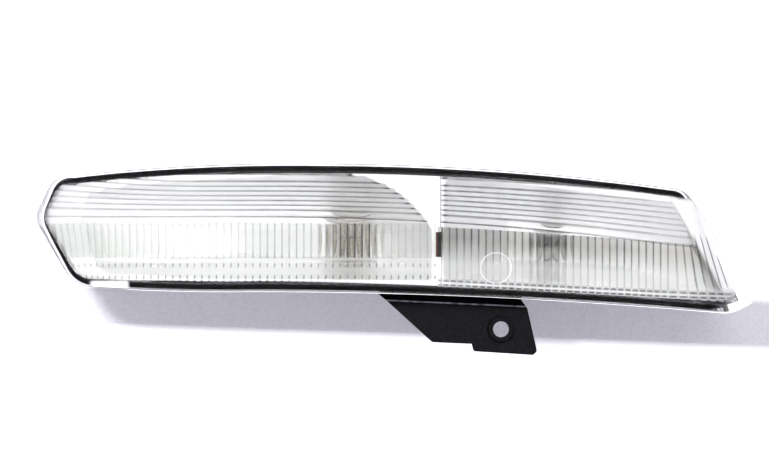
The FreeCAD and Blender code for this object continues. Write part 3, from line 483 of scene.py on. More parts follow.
@dataclass(frozen=True)
class LensSkin:
    """Closed form of the lens: front outline, plan of the outer skin, and depth square behind it.

    Lengths are in millimetres, turns in radians.

    Attributes:
        lead: distance of the skin's front from the plane Y = 0.
        bow_radius: radius of the slight bow.
        bow_middle: X of the bow's middle.
        inboard_x: X where the inboard wrap starts.
        inboard_radius: radius of the inboard wrap.
        inboard_turn: turn at the end of the inboard wrap.
        outboard_x: X where the outboard wrap starts.
        radius_low: radius of the outboard wrap at level_low.
        radius_high: radius of the outboard wrap at level_high.
        outboard_turn: turn at the end of the outboard wrap.
        level_low: height where radius_low holds.
        level_high: height where radius_high holds.
        start: X and Z where the front outline starts.
        runs: its runs, each a point that an arc passes, or None for a straight run, and an end.
    """

    lead: float = 24.0
    bow_radius: float = 3000.0
    bow_middle: float = -50.0
    inboard_x: float = -185.6
    inboard_radius: float = 85.0
    inboard_turn: float = math.radians(34.0)
    outboard_x: float = 83.1
    radius_low: float = 50.0
    radius_high: float = 11.0
    outboard_turn: float = math.radians(66.0)
    level_low: float = 4.0
    level_high: float = 86.0
    start: Point = (-214.1, 77.1)
    runs: tuple[tuple[Point | None, Point], ...] = (
        ((-151.9, 82.0), (-89.6, 83.0)),
        ((-20.4, 81.0), (84.4, 70.8)),
        ((92.9, 67.9), (97.2, 62.2)),
        ((110.4, 41.0), (122.5, 17.5)),
        (None, (125.5, 15.0)),
        ((126.5, 13.4), (125.4, 12.2)),
        (None, (117.6, 9.1)),
        ((113.2, 8.2), (108.7, 8.3)),
        ((-18.1, 16.65), (-120.6, 18.95)),
        ((-175.6, 19.55), (-207.0, 21.2)),
        ((-213.5, 23.9), (-219.0, 29.9)),
        (None, (-231.0, 49.8)),
        ((-233.0, 56.2), (-231.6, 61.5)),
        (None, (-226.5, 71.5)),
        ((-222.6, 75.3), (-214.1, 77.1)),
    )

    def bow_turn(self, x: float) -> float:
        """Turn of the plan at a place on the bow."""
        return math.asin((x - self.bow_middle) / self.bow_radius)

    def wrap_centre(self, join: float, radius: Array) -> tuple[Array, Array]:
        """Plan centre of a wrap of a radius that joins the bow at a turn.

        Args:
            join: turn at the joint.
            radius: radius of the wrap.

        Returns:
            X and Y of the centre.
        """
        reach = self.bow_radius - radius
        x = self.bow_middle + reach * math.sin(join)
        y = -self.lead + self.bow_radius - reach * math.cos(join)
        return x, y

    def outboard_radius(self, z: Array) -> Array:
        """Radius of the outboard wrap at a height."""
        rise = (z - self.level_low) / (self.level_high - self.level_low)
        return self.radius_low + rise * (self.radius_high - self.radius_low)

    def wrap_y(self, x: Array, radius: Array, join: float, turn: float, depth: Array) -> Array:
        """Y on a wrap and on the straight tail beyond it.

        Args:
            x: front-view X.
            radius: radius of the wrap at each point.
            join: turn where it joins the bow.
            turn: signed turn where the wrap ends.
            depth: depth square behind the skin.

        Returns:
            Y at each point.
        """
        centre_x, centre_y = self.wrap_centre(join, radius)
        inner = radius - depth
        sine = (x - centre_x) / inner
        round_y = centre_y - inner * np.sqrt(np.clip(1.0 - sine * sine, 0.0, 1.0))
        end_x = centre_x + inner * math.sin(turn)
        end_y = centre_y - inner * math.cos(turn)
        tail_y = end_y + (x - end_x) * math.tan(turn)
        past = sine * math.copysign(1.0, turn) > math.sin(abs(turn))
        return np.where(past, tail_y, round_y)

    def y(self, x: Array, z: Array, depth: Number) -> Array:
        """Y of the surface that lies a depth square behind the outer skin.

        Args:
            x: front-view X.
            z: front-view Z.
            depth: depth behind the skin.

        Returns:
            Y at each point.
        """
        depth = np.broadcast_to(depth, np.shape(x)).astype(float)
        inboard_join = self.bow_turn(self.inboard_x)
        outboard_join = self.bow_turn(self.outboard_x)
        inner = self.bow_radius - depth
        sine = (x - self.bow_middle) / inner
        bow = -self.lead + self.bow_radius - inner * np.sqrt(1.0 - sine * sine)
        inboard_radius = np.full(np.shape(x), self.inboard_radius)
        inboard = self.wrap_y(x, inboard_radius, inboard_join, -self.inboard_turn, depth)
        outboard = self.wrap_y(x, self.outboard_radius(z), outboard_join, self.outboard_turn, depth)
        result = np.where(x < self.bow_middle + inner * math.sin(inboard_join), inboard, bow)
        return np.where(x > self.bow_middle + inner * math.sin(outboard_join), outboard, result)

    def loop(self, step: float) -> Array:
        """Front outline as evenly spaced points, in the order of its runs.

        Args:
            step: about this distance between points.

        Returns:
            Array of X, Z pairs.
        """
        points: list[Point] = [self.start]
        here = self.start
        for via, end in self.runs:
            points.extend(self.run_points(here, via, end))
            here = end
        dense = np.array(points[:-1])
        closed = np.vstack([dense, dense[:1]])
        lengths = np.concatenate([[0.0], np.cumsum(np.linalg.norm(np.diff(closed, axis=0), axis=1))])
        count = int(round(lengths[-1] / step))
        places = np.linspace(0.0, lengths[-1], count, endpoint=False)
        return np.column_stack([np.interp(places, lengths, closed[:, axis]) for axis in (0, 1)])

    @staticmethod
    def run_points(here: Point, via: Point | None, end: Point) -> list[Point]:
        """Points along one run of the outline, its start left out.

        Args:
            here: start of the run.
            via: point that an arc passes, or None for a straight run.
            end: end of the run.

        Returns:
            The points.
        """
        if via is None:
            shares = np.linspace(0.0, 1.0, 40)[1:]
            return [(here[0] + s * (end[0] - here[0]), here[1] + s * (end[1] - here[1])) for s in shares]
        a, b, c = (complex(*point) for point in (here, via, end))
        w = (c - a) / (b - a)
        centre = (b - a) * (w - abs(w) ** 2) / (2j * w.imag) + a
        first = a - centre
        turn_via = np.angle((b - centre) / first)
        turn_end = np.angle((c - centre) / first)
        if abs(turn_end) < abs(turn_via) or turn_end * turn_via < 0:
            turn_end -= math.copysign(2 * math.pi, turn_end)
        arc = centre + first * np.exp(1j * np.linspace(0.0, turn_end, 80)[1:])
        return [(place.real, place.imag) for place in arc]


class FrontRegion:
    """Inside of the front outline, with the distance of any point from its edge.

    Attributes:
        batch: points that are measured at a time.
        slack: shortfall of the inset that still counts as reached, in millimetres.
    """

    batch = 4000
    slack = 0.02

    def __init__(self, loop: Array) -> None:
        """Keep the edge's segments.

        Args:
            loop: X, Z pairs round the edge.
        """
        self.start = loop
        self.end = np.roll(loop, -1, axis=0)
        area = np.sum(self.start[:, 0] * self.end[:, 1] - self.end[:, 0] * self.start[:, 1])
        self.hand = 1.0 if area > 0 else -1.0

    def inset_of(self, x: Array, z: Array) -> Array:
        """Distance inwards from the edge, below zero outside it.

        Args:
            x: front-view X.
            z: front-view Z.

        Returns:
            The distance at each point.
        """
        flat = np.column_stack([np.ravel(x), np.ravel(z)])
        result = np.empty(len(flat))
        run = self.end - self.start
        square = np.sum(run * run, axis=1)
        for first in range(0, len(flat), self.batch):
            part = flat[first:first + self.batch]
            offset = part[:, None, :] - self.start[None, :, :]
            share = np.clip(np.einsum("ijk,jk->ij", offset, run) / square, 0.0, 1.0)
            apart = offset - share[:, :, None] * run[None, :, :]
            squares = np.einsum("ijk,ijk->ij", apart, apart)
            nearest = np.argmin(squares, axis=1)
            row = np.arange(len(part))
            side = run[nearest, 0] * offset[row, nearest, 1] - run[nearest, 1] * offset[row, nearest, 0]
            inside = np.where(side * self.hand >= 0, 1.0, -1.0)
            result[first:first + self.batch] = inside * np.sqrt(squares[row, nearest])
        return result.reshape(np.shape(x))

    def shrunk(self, inset: float) -> Array:
        """Edge moved inwards, one point for each of the edge's points.

        Args:
            inset: distance inwards.

        Returns:
            X, Z pairs, where points that would cross over share one place.
        """
        tangent = np.roll(self.start, -1, axis=0) - np.roll(self.start, 1, axis=0)
        tangent /= np.linalg.norm(tangent, axis=1)[:, None]
        inward = self.hand * np.column_stack([-tangent[:, 1], tangent[:, 0]])
        moved = self.start + inset * inward
        good = self.inset_of(moved[:, 0], moved[:, 1]) > inset - self.slack
        if inset > 0 and not good.all():
            kept = np.flatnonzero(good)
            after = kept[np.searchsorted(kept, np.arange(len(moved))) % len(kept)]
            before = kept[np.searchsorted(kept, np.arange(len(moved)), side="right") - 1]
            moved[~good] = ((moved[before] + moved[after]) / 2)[~good]
        return moved


@dataclass(frozen=True)
class RimStep:
    """One ring of the rim's section.

    Attributes:
        inset: distance inwards from the front outline.
        depth: depth square behind the skin.
        back: shift straight back along Y.
        ink: darkness of the painted shade line that the ring draws.
    """

    inset: float
    depth: float
    back: float = 0.0
    ink: float = 0.0


def smooth(value: Number, low: float, high: float) -> Array:
    """Smooth step from 0 at low to 1 at high."""
    share = np.clip((np.asarray(value, dtype=float) - low) / (high - low), 0.0, 1.0)
    return share * share * (3.0 - 2.0 * share)


def bump(value: Array, middle: float, half: float) -> Array:
    """Smooth bump that is 1 at its middle and 0 beyond its half width."""
    return 1.0 - smooth(np.abs(np.asarray(value, dtype=float) - middle), 0.0, half)


def grid_faces(rows: int, count: int, order: Sequence[int], closed: bool = False) -> Array:
    """Quads between the rows of a grid of points.

    Args:
        rows: number of rows.
        count: points in each row.
        order: the order of a quad's corners, counted from the first along its row and back.
        closed: whether the last point of a row joins the first.

    Returns:
        Four point numbers for each quad.
    """
    here = np.arange(count if closed else count - 1)
    there = (here + 1) % count
    base = count * np.arange(rows - 1)[:, None]
    corners = np.stack([base + here, base + there, base + count + there, base + count + here], axis=-1)
    return corners.reshape(-1, 4)[:, list(order)]


@dataclass
class FlutedLens:
    """Clear lens with level flutes above, upright flutes and pillow rows below, and its rim.

    Lengths are in millimetres until the mesh is made.

    Attributes:
        skin: shape of the lens.
        wall: wall thickness beside the flutes.
        root: wall thickness at a flute's edge.
        land: wall thickness between the fields.
        level_crown: height of a level flute.
        upright_crown: height of an upright flute.
        field_inset: distance of the flutes from the outline.
        least_column: least height of a mesh column.
        region_step: distance between the outline's points when the field is measured.
        rim_step: distance between the outline's points round the rim.
        flute_span: numbers of the flute lines between which the field is looked for.
        level_span: heights between which it is looked for, and how many.
        level_middle: height at which the level flutes' X is taken.
        upright_middle: height at which the upright flutes' X is taken.
        margin: height of the plain strip's slope beside an upright window.
        fan_lean: slope that the lines lean to inboard, the length in which they reach it, and
            the height that they turn about.
        columns_per_flute: mesh columns for each upright flute.
        level_rows: place of each mesh row in a level flute, and its share of the painted shade along the
            edge.
        split_x: X between the two compartments.
        split_land: width of the plain strip between them.
        fan_painted_shade: darkness of the fan of painted shade lines at the outboard end.
        fan_x: X beyond which that fan is drawn in full detail.
        tip_low: lower edge of the dark channel's end as X, Z pairs.
        tip_high: upper edge of the dark channel's end.
        level_top: height of the first level flute's edge at level_bend_x.
        level_widths: width of each level flute, from the top.
        level_bends: radius that the first and the last level edge bend down with.
        level_bend_x: X from which they bend down.
        level_rise_x: X short of which they rise.
        level_rise: rise of the first edge there, for each square millimetre.
        upright_pitch: pitch of the upright flutes.
        tall_top: top of the tall flutes inboard.
        tall_fall: top of the tall flutes at split_x, its slope and its bend outboard.
        tall_low: bottom of the tall flutes, inboard and outboard.
        tall_shares: place of each mesh row from a tall flute's top to its bottom.
        pillow_rows: bottom and top of each pillow row, inboard and outboard.
        pillow_shares: place of each mesh row from a pillow's top to its bottom.
        row_fall: fall of the outboard rows along X.
        bowl_heights: heights at which bowl_edges holds.
        bowl_edges: X of the inboard bowl's rounded edge.
        rim: rings of the rim and the edge leg, from the front round to the back.
    """

    skin: LensSkin = field(default_factory=LensSkin)
    wall: float = 3.0
    root: float = 2.15
    land: float = 2.35
    level_crown: float = 0.3
    upright_crown: float = 0.42
    field_inset: float = 4.3
    least_column: float = 0.5
    region_step: float = 1.8
    rim_step: float = 0.75
    flute_span: tuple[int, int] = (-22, 110)
    level_span: tuple[float, float, int] = (5.0, 84.0, 120)
    level_middle: float = 60.0
    upright_middle: float = 34.0
    margin: float = 0.2
    fan_lean: tuple[float, float, float] = (0.19, 42.0, 56.0)
    columns_per_flute: int = 6
    level_rows: tuple[Point, ...] = (
        (0.0, 1.0), (0.09, 0.85), (0.2, 0.12), (0.4, 0.0), (0.6, 0.0), (0.8, 0.12), (0.91, 0.85),
    )
    split_x: float = -32.2
    split_land: float = 1.6
    fan_painted_shade: float = 0.6
    fan_x: float = 88.0
    tip_low: tuple[Point, ...] = (
        (94.0, 11.4), (102.0, 11.0), (109.4, 10.8), (115.0, 11.6), (119.0, 13.0), (122.6, 15.0),
    )
    tip_high: tuple[Point, ...] = (
        (94.0, 14.8), (102.0, 14.6), (109.4, 14.3), (115.0, 14.7), (122.6, 15.6),
    )
    level_top: float = 77.5
    level_widths: tuple[float, ...] = (3.6, 2.36, 2.36, 2.36, 2.36, 2.36, 2.36, 3.6)
    level_bends: tuple[float, float] = (2120.0, 1515.0)
    level_bend_x: float = -120.0
    level_rise_x: float = -150.0
    level_rise: float = 0.0012
    upright_pitch: float = 3.63
    tall_top: float = 52.9
    tall_fall: tuple[float, float, float] = (51.2, 0.05, 0.00016)
    tall_low: Point = (35.75, 24.3)
    tall_shares: tuple[float, ...] = (0.0, 0.05, 0.12, 0.22, 0.45, 0.7, 0.85, 0.95, 1.0)
    pillow_rows: tuple[tuple[Point, Point], ...] = (
        ((30.75, 33.75), (22.2, 23.9)), ((24.75, 27.75), (20.1, 21.6)),
    )
    pillow_shares: tuple[float, ...] = (0.0, 0.2, 0.5, 0.8, 1.0)
    row_fall: float = 0.0515
    bowl_heights: tuple[float, ...] = (50.0, 53.0, 58.0, 63.0, 68.2, 73.0, 78.4)
    bowl_edges: tuple[float, ...] = (-34.8, -36.0, -40.2, -45.5, -51.3, -60.5, -79.0)
    rim: tuple[RimStep, ...] = (
        *(RimStep(inset, 0.0) for inset in (4.34, 3.9, 3.4, 2.8, 2.2, 1.6, 1.1)),
        RimStep(0.75, 0.0, ink=0.05),
        RimStep(0.4, 0.04, ink=0.6),
        RimStep(0.1, 0.3, ink=0.75),
        RimStep(0.02, 0.75, ink=0.9),
        RimStep(0.02, 2.5, ink=0.9),
        RimStep(0.25, 3.0, ink=0.5),
        RimStep(0.6, 3.0),
        RimStep(2.15, 3.0, ink=0.9),
        RimStep(2.15, 0.0, back=12.0, ink=0.9),
        RimStep(3.15, 0.0, back=12.0, ink=0.9),
        RimStep(3.15, 3.0, ink=0.9),
        RimStep(4.34, 3.0),
    )

    def build(self, material: bpy.types.Material) -> bpy.types.Object:
        """Build the lens as one object.

        Args:
            material: its clear finish.

        Returns:
            The lens object.
        """
        region = FrontRegion(self.skin.loop(self.region_step))
        columns = self.columns(region)
        sheets = [make(columns) for make in (self.back_sheet, self.front_sheet, self.step_strip)]
        points, faces, painted_shades, painted_wall_shades = zip(*sheets, self.rim_band())
        offsets = np.cumsum([0, *map(len, points)])
        places = np.vstack(points)
        joined = np.vstack([part + offset for part, offset in zip(faces, offsets)])
        values = {"ink": np.concatenate(painted_shades), "tint": np.concatenate(painted_wall_shades)}
        values["frost"] = self.frost(places)
        return make_mesh("fluted_lens", places * MM, joined, material, values)

    @staticmethod
    def frost(places: Array) -> Array:
        """Painted glare as milky white on the clear acrylic: the steep outboard end and the inboard lug.

        The end lies past a slanting line square to the outline's last run; places are from the photo.

        Args:
            places: points in millimetres.

        Returns:
            The painted glare of each point.
        """
        x, z = places[:, 0], places[:, 2]
        beyond = (x - 97.2) * 0.87 + (z - 62.2) * 0.492
        end = smooth(beyond, -11.0, -8.0) * smooth(66.5 - z, 0.0, 3.0) * smooth(z, 17.5, 20.5)
        lug = smooth(x, -206.0, -203.5) * smooth(-x, 185.0, 187.5) * smooth(-z, -25.0, -23.5)
        return np.clip(0.85 * end + 0.85 * lug, 0.0, 1.0)

    def columns(self, region: FrontRegion) -> "ColumnSet":
        """Columns of the flute field from the inboard to the outboard end.

        Args:
            region: inside of the front outline.

        Returns:
            The columns with their lowest and highest places in the field.
        """
        per_flute = self.columns_per_flute
        first, last = self.flute_span
        phases = np.arange(first * per_flute, last * per_flute) / per_flute
        levels = np.linspace(*self.level_span)
        phase_grid, level_grid = np.meshgrid(phases, levels, indexing="ij")
        x_grid = self.column_x(phase_grid, level_grid)
        inset = region.inset_of(x_grid, level_grid)
        inside = inset >= self.field_inset
        first = inside.argmax(axis=1)
        last = len(levels) - 1 - inside[:, ::-1].argmax(axis=1)
        kept = np.flatnonzero(inside.any(axis=1) & (first > 0) & (last < len(levels) - 1))
        low = self.crossing(levels, inset[kept], first[kept] - 1)
        high = self.crossing(levels, inset[kept], last[kept])
        tall = high - low > self.least_column
        return ColumnSet(phases[kept][tall], low[tall], high[tall])

    def crossing(self, levels: Array, inset: Array, index: Array) -> Array:
        """Height where each column's inset passes the field's edge, after the level at index.

        Args:
            levels: the heights that were measured.
            inset: inset of each column at each of them.
            index: number of a level for each column.

        Returns:
            The height in each column.
        """
        column = np.arange(len(inset))
        here, after = inset[column, index], inset[column, index + 1]
        share = (self.field_inset - here) / (after - here)
        return levels[index] + share * (levels[index + 1] - levels[index])

    def column_x(self, phase: Array, z: Array) -> Array:
        """X of a flute line at a height; the lines fan out at both wraps.

        Args:
            phase: number of the flute line from the inboard wrap's start.
            z: height.

        Returns:
            X at each point.
        """
        skin = self.skin
        inboard_join = skin.bow_turn(skin.inboard_x)
        outboard_join = skin.bow_turn(skin.outboard_x)
        place = phase * self.upright_pitch
        bow_length = skin.bow_radius * (outboard_join - inboard_join)
        bow_x = skin.bow_middle + skin.bow_radius * np.sin(inboard_join + place / skin.bow_radius)
        turn_in = inboard_join + place / skin.inboard_radius
        centre_in, _ = skin.wrap_centre(inboard_join, np.asarray(skin.inboard_radius))
        x_in = centre_in + skin.inboard_radius * np.sin(np.clip(turn_in, -skin.inboard_turn, 0.0))
        tail_in = np.minimum(0.0, turn_in + skin.inboard_turn) * skin.inboard_radius
        slope, reach, pivot = self.fan_lean
        lean = slope * smooth(-place, 0.0, reach)
        x_in = x_in + tail_in * math.cos(skin.inboard_turn) + lean * (pivot - z)
        radius = skin.outboard_radius(z)
        middle_radius = (skin.radius_low + skin.radius_high) / 2
        beyond = place - bow_length
        arc_length = middle_radius * (skin.outboard_turn - outboard_join)
        turn_out = outboard_join + np.minimum(beyond, arc_length) / middle_radius
        tail_out = np.maximum(0.0, beyond - arc_length)
        centre_out, _ = skin.wrap_centre(outboard_join, radius)
        x_out = centre_out + radius * np.sin(turn_out) + tail_out * math.cos(skin.outboard_turn)
        result = np.where(place < 0.0, x_in, bow_x)
        return np.where(beyond > 0.0, x_out, result)

    def level_height(self, x: Array, drop: float) -> Array:
        """Height of a level flute's edge.

        Args:
            x: front-view X.
            drop: distance below the first edge.

        Returns:
            The height at each X.
        """
        share = drop / sum(self.level_widths)
        bend = self.level_bends[0] + share * (self.level_bends[1] - self.level_bends[0])
        past = np.maximum(0.0, x - self.level_bend_x)
        short = np.maximum(0.0, self.level_rise_x - x)
        rise = self.level_rise * (1.0 - share) * short * short
        return self.level_top - drop - past * past / (2 * bend) + rise

    def upright_top(self, x: Array) -> Array:
        """Top of the tall upright flutes."""
        reach = np.maximum(0.0, x - self.split_x)
        top, slope, bend = self.tall_fall
        return np.where(x < self.split_x, self.tall_top, top - slope * reach - bend * reach * reach)

    def windows(self, x: Array) -> list[tuple[Array, Array]]:
        """Bottom and top of the tall window and the two pillow rows at X.

        Args:
            x: X of each column.

        Returns:
            Pairs of bottom and top, from the highest window down.
        """
        inboard = x < self.split_x
        fall = self.row_fall * x
        rows = [(np.where(inboard, self.tall_low[0], self.tall_low[1] - fall), self.upright_top(x))]
        for ends in self.pillow_rows:
            rows.append(tuple(np.where(inboard, near, far - fall) for near, far in zip(*ends)))
        return rows

    def back_sheet(self, columns: "ColumnSet") -> Sheet:
        """Inner surface of the field with all its flutes.

        Args:
            columns: the field's columns.

        Returns:
            Points, faces, ink and tint.
        """
        phase = columns.phase
        wave = 4.0 * (phase % 1.0) * (1.0 - phase % 1.0)
        cusp = np.isclose(phase % 1.0, 0.0, atol=1e-6).astype(float)
        middle = np.isclose(phase % 1.0, 0.5, atol=1e-6).astype(float)
        near = self.column_x(phase, np.full_like(phase, self.level_middle))
        low_x = self.column_x(phase, np.full_like(phase, self.upright_middle))
        split = np.abs(low_x - self.split_x) < self.split_land / 2
        rows: list[Row] = []

        def row(z: Array, depth: Number, ink: Number = 0.0, tint: Number = 0.0) -> None:
            """Add one row of the sheet."""
            parts = (np.clip(z, columns.low, columns.high), depth, ink, tint)
            rows.append(tuple(np.broadcast_to(part, phase.shape) for part in parts))

        row(columns.high, self.wall)
        drop = 0.0
        for flute, width in enumerate(self.level_widths):
            for share, weight in self.level_rows:
                z = self.level_height(near, drop + share * width)
                crown = self.level_crown * 4.0 * share * (1.0 - share)
                line = flute + (1 if share > 0.5 else 0)
                row(z, self.root + crown, weight * self.level_painted_shade(near, z, line))
            drop += width
        bottom = self.level_height(near, drop)
        row(bottom, self.root, self.level_painted_shade(near, bottom, len(self.level_widths)))
        row(bottom - 0.25, self.land)
        inside = np.where(split, 0.0, 1.0)
        for number, (low, high) in enumerate(self.windows(low_x)):
            row(high + self.margin, self.land)
            for share in self.pillow_shares if number else self.tall_shares:
                z = high + share * (low - high)
                if number == 0:
                    ends = np.sqrt(np.clip(np.minimum(share, 1.0 - share) / 0.12, 0.0, 1.0))
                    ink = self.upright_painted_shade(low_x, cusp, share)
                else:
                    ends = 4.0 * share * (1.0 - share)
                    ink = self.pillow_painted_shade(low_x, cusp, middle, share, number)
                crown = self.upright_crown * wave * (0.25 + 0.75 * ends)
                depth = np.where(split, self.land, self.root + crown)
                row(z, depth, ink * inside, self.upright_wall_shade(low_x, z) * inside)
            row(low - self.margin, self.land)
        row(columns.low, self.wall)
        return self.sheet(columns, rows, (1, 2, 3, 0))

    def level_painted_shade(self, x: Array, z: Array, line: int) -> Array:
        """Painted shade along a level flute's edge line, strongest over the bowls' ends.

        The numbers are places along X and shares of full darkness, read from the photo.

        Args:
            x: front-view X.
            z: height of the line.
            line: number of the line from the top.

        Returns:
            The darkness at each X.
        """
        edge = np.interp(z, self.bowl_heights, self.bowl_edges)
        left = 1.0 - smooth(x - edge, -0.8, 0.4)
        right = smooth(x, -31.2, -29.4)
        strength = 0.42 + 0.25 * bump(x, -95.0, 60.0) + 0.25 * bump(x, 0.0, 60.0)
        strength = strength + 0.55 * bump(x - edge, -1.2, 2.4) + 0.4 * bump(x, -28.2, 2.0)
        strength = strength * (1.0 - 0.45 * smooth(x, 66.0, 84.0))
        strength = strength * (1.0 - 0.3 * smooth(-x, 190.0, 215.0))
        last = 1.25 if line == len(self.level_widths) else 1.0
        return np.clip(0.05 + last * strength * np.maximum(left, right), 0.0, 1.0)

    def upright_painted_shade(self, x: Array, cusp: Array, share: float) -> Array:
        """Painted shade of a tall upright flute: dark lines at its edges and the shaded tops of the
        outboard ones.

        The numbers are places along X and shares of full darkness, read from the photo.

        Args:
            x: front-view X.
            cusp: 1 on a flute's edge, else 0.
            share: place between the flute's top and its bottom.

        Returns:
            The darkness at each X.
        """
        inboard = x < self.split_x
        bulb = bump(x, -73.5, 13.0)
        line = np.where(inboard, 0.2 + 0.8 * smooth(bulb, 0.0, 0.5), 0.62 + 0.25 * bump(x, 62.0, 40.0))
        line = line + 0.22 * bump(x, -110.0, 30.0)
        upper = 1.0 - share
        shade = np.where(inboard, 0.1 + 0.05 * bump(x, -110.0, 40.0), 0.4 * smooth(upper, 0.25, 0.8))
        shade = shade * (1.0 - 0.7 * smooth(x, 50.0, 90.0))
        fade = np.where(inboard, 1.0, 0.35 + 0.65 * smooth(upper, 0.2, 0.7))
        return np.clip(shade + cusp * line * fade, 0.0, 1.0)

    def pillow_painted_shade(self, x: Array, cusp: Array, middle: Array, share: float, number: int) -> Array:
        """Painted shade of a pillow: a dark dot in its middle outboard, at its corners inboard.

        Args:
            x: front-view X.
            cusp: 1 on a pillow's edge, else 0.
            middle: 1 on a pillow's middle line, else 0.
            share: place between the pillow's top and its bottom.
            number: number of the row, 1 above 2.

        Returns:
            The darkness at each X.
        """
        inboard = x < self.split_x
        heart = 4.0 * share * (1.0 - share)
        dots = np.where(inboard, cusp * heart * heart, (0.8 * (1.0 - cusp) + 0.2 * middle) * heart)
        edges = np.where(inboard, 0.08 * cusp, 0.1 * cusp)
        strength = 0.75 + 0.25 * smooth(x, -60.0, 20.0)
        return np.clip((dots + edges) * strength * (1.0 if number == 2 else 0.85), 0.0, 1.0)

    def upright_wall_shade(self, x: Array, z: Array) -> Array:
        """Painted shade of the walls behind the flutes: beige over the outboard bowl's upper part, pale
        green inboard.
        """
        low = self.tall_low[1] - self.row_fall * x
        share = (z - low) / (self.upright_top(x) - low)
        return np.where(x < self.split_x, 0.5, 0.25 + 0.75 * smooth(share, 0.3, 0.75))

    def front_sheet(self, columns: "ColumnSet") -> Sheet:
        """Smooth outer surface over the field.

        Args:
            columns: the field's columns.

        Returns:
            Points, faces, ink and tint.
        """
        kept = np.round(columns.phase * self.columns_per_flute) % 3 == 0
        kept |= self.column_x(columns.phase, np.full_like(columns.phase, 20.0)) > self.fan_x
        kept[[0, -1]] = True
        thin = ColumnSet(columns.phase[kept], columns.low[kept], columns.high[kept])
        cusp = np.isclose(thin.phase % 1.0, 0.0, atol=1e-6)
        rows: list[Row] = []
        for share in np.linspace(0.0, 1.0, 19):
            z = thin.high + share * (thin.low - thin.high)
            x = self.column_x(thin.phase, z)
            tall = smooth(z, 20.0, 23.0) * (1.0 - smooth(z, 45.0, 48.0))
            # painted shade: a fan of dark lines on the outer surface at the outboard end
            ink = self.fan_painted_shade * cusp * tall * smooth(x, 92.0, 97.0)
            rows.append((z, np.zeros_like(z), ink, np.zeros_like(z)))
        return self.sheet(thin, rows, (0, 3, 2, 1))

    def step_strip(self, columns: "ColumnSet") -> Sheet:
        """Strip at both ends of the field where its first and last columns meet the wall.

        Args:
            columns: the field's columns.

        Returns:
            Points, faces, ink and tint.
        """
        count = 40
        points: list[Array] = []
        for end in (0, -1):
            z = np.linspace(columns.high[end], columns.low[end], count)
            x = self.column_x(np.full_like(z, columns.phase[end]), z)
            for depth in (self.root, self.wall):
                points.append(np.column_stack([x, self.skin.y(x, z, depth), z]))
        faces = [grid_faces(2, count, (0, 1, 2, 3)), grid_faces(2, count, (3, 2, 1, 0)) + 2 * count]
        zeros = np.zeros(4 * count)
        return np.vstack(points), np.vstack(faces), zeros, zeros

    def sheet(self, columns: "ColumnSet", rows: list[Row], order: Sequence[int]) -> Sheet:
        """Grid of rows and columns as points and faces.

        Args:
            columns: the columns.
            rows: height, depth, ink and tint of each row at each column.
            order: order of a quad's corners.

        Returns:
            Points, faces, ink and tint.
        """
        z, depth, ink, tint = np.array(rows, dtype=float).transpose(1, 0, 2)
        x = self.column_x(np.broadcast_to(columns.phase, z.shape), z)
        points = np.stack([x, self.skin.y(x, z, depth), z], axis=-1).reshape(-1, 3)
        return points, grid_faces(*z.shape, order), ink.ravel(), tint.ravel()

    def painted_channel_tip(self, ring: Array) -> Array:
        """Painted dark image of the channel, seen through the rim, where it tapers off under the
        outboard corner.

        Args:
            ring: X, Z pairs.

        Returns:
            The darkness of each point.
        """
        x, z = ring[:, 0], ring[:, 1]
        low = np.interp(x, *zip(*self.tip_low))
        high = np.interp(x, *zip(*self.tip_high))
        inside = smooth(z - low, -0.4, 0.2) * smooth(high - z, -0.4, 0.2)
        return inside * smooth(x, 98.0, 104.0) * (1.0 - smooth(x, 121.6, 122.6))

    def rim_band(self) -> Sheet:
        """Rim and edge leg, swept round the outline.

        Returns:
            Points, faces, ink and tint.
        """
        region = FrontRegion(self.skin.loop(self.rim_step))
        rings: list[Array] = []
        painted_shades: list[Array] = []
        for step in self.rim:
            ring = region.shrunk(step.inset)
            y = self.skin.y(ring[:, 0], ring[:, 1], step.depth) + step.back
            rings.append(np.column_stack([ring[:, 0], y, ring[:, 1]]))
            # painted shade lines round the rim, and the channel's painted dark image at the outboard tip
            ink = step.ink * (0.7 + 0.3 * smooth(ring[:, 0], -215.0, -190.0))
            painted_shades.append(np.maximum(ink, self.painted_channel_tip(ring)) if step.depth == 0.0 else ink)
        order = (0, 1, 2, 3) if region.hand > 0 else (3, 2, 1, 0)
        faces = grid_faces(len(rings), len(rings[0]), order, closed=True)
        return np.vstack(rings), faces, np.concatenate(painted_shades), np.zeros(len(rings) * len(rings[0]))


@dataclass
class MouldedRing:
    """Plain raised ring on the lens, in millimetres.

    Attributes:
        skin: shape of the lens.
        middle: X and Z of its centre.
        radius: radius of its middle line.
        bead: radius of its section.
        bead_glare: painted glare on the bead, as milky white.
    """

    skin: LensSkin = field(default_factory=LensSkin)
    middle: Point = (-2.8, 30.85)
    radius: float = 7.6
    bead: float = 0.22
    bead_glare: float = 0.9

    def build(self, material: bpy.types.Material) -> bpy.types.Object:
        """Build the ring.

        Args:
            material: its clear finish.

        Returns:
            The ring object.
        """
        rings, beads = 96, 8
        around, across = np.meshgrid(
            np.linspace(0.0, 2 * math.pi, rings, endpoint=False),
            np.linspace(0.0, 2 * math.pi, beads, endpoint=False),
            indexing="ij",
        )
        reach = self.radius + self.bead * np.cos(across)
        x = self.middle[0] + reach * np.cos(around)
        z = self.middle[1] + reach * np.sin(around)
        y = self.skin.y(x, z, 0.0) - self.bead * np.sin(across)
        points = np.stack([x, y, z], axis=-1).reshape(-1, 3)
        faces = grid_faces(rings + 1, beads, (0, 3, 2, 1), closed=True) % len(points)
        zeros = np.zeros(len(points))
        # painted glare on the ring's bead, as milky white
        values = {"ink": zeros, "tint": zeros, "frost": zeros + self.bead_glare}
        return make_mesh("moulded_ring", points * MM, faces, material, values)


@dataclass(frozen=True)
class ColumnSet:
    """Columns of the flute field.

    Attributes:
        phase: number of each column's flute line.
        low: lowest height of each column.
        high: highest height of each column.
    """

    phase: Array
    low: Array
    high: Array


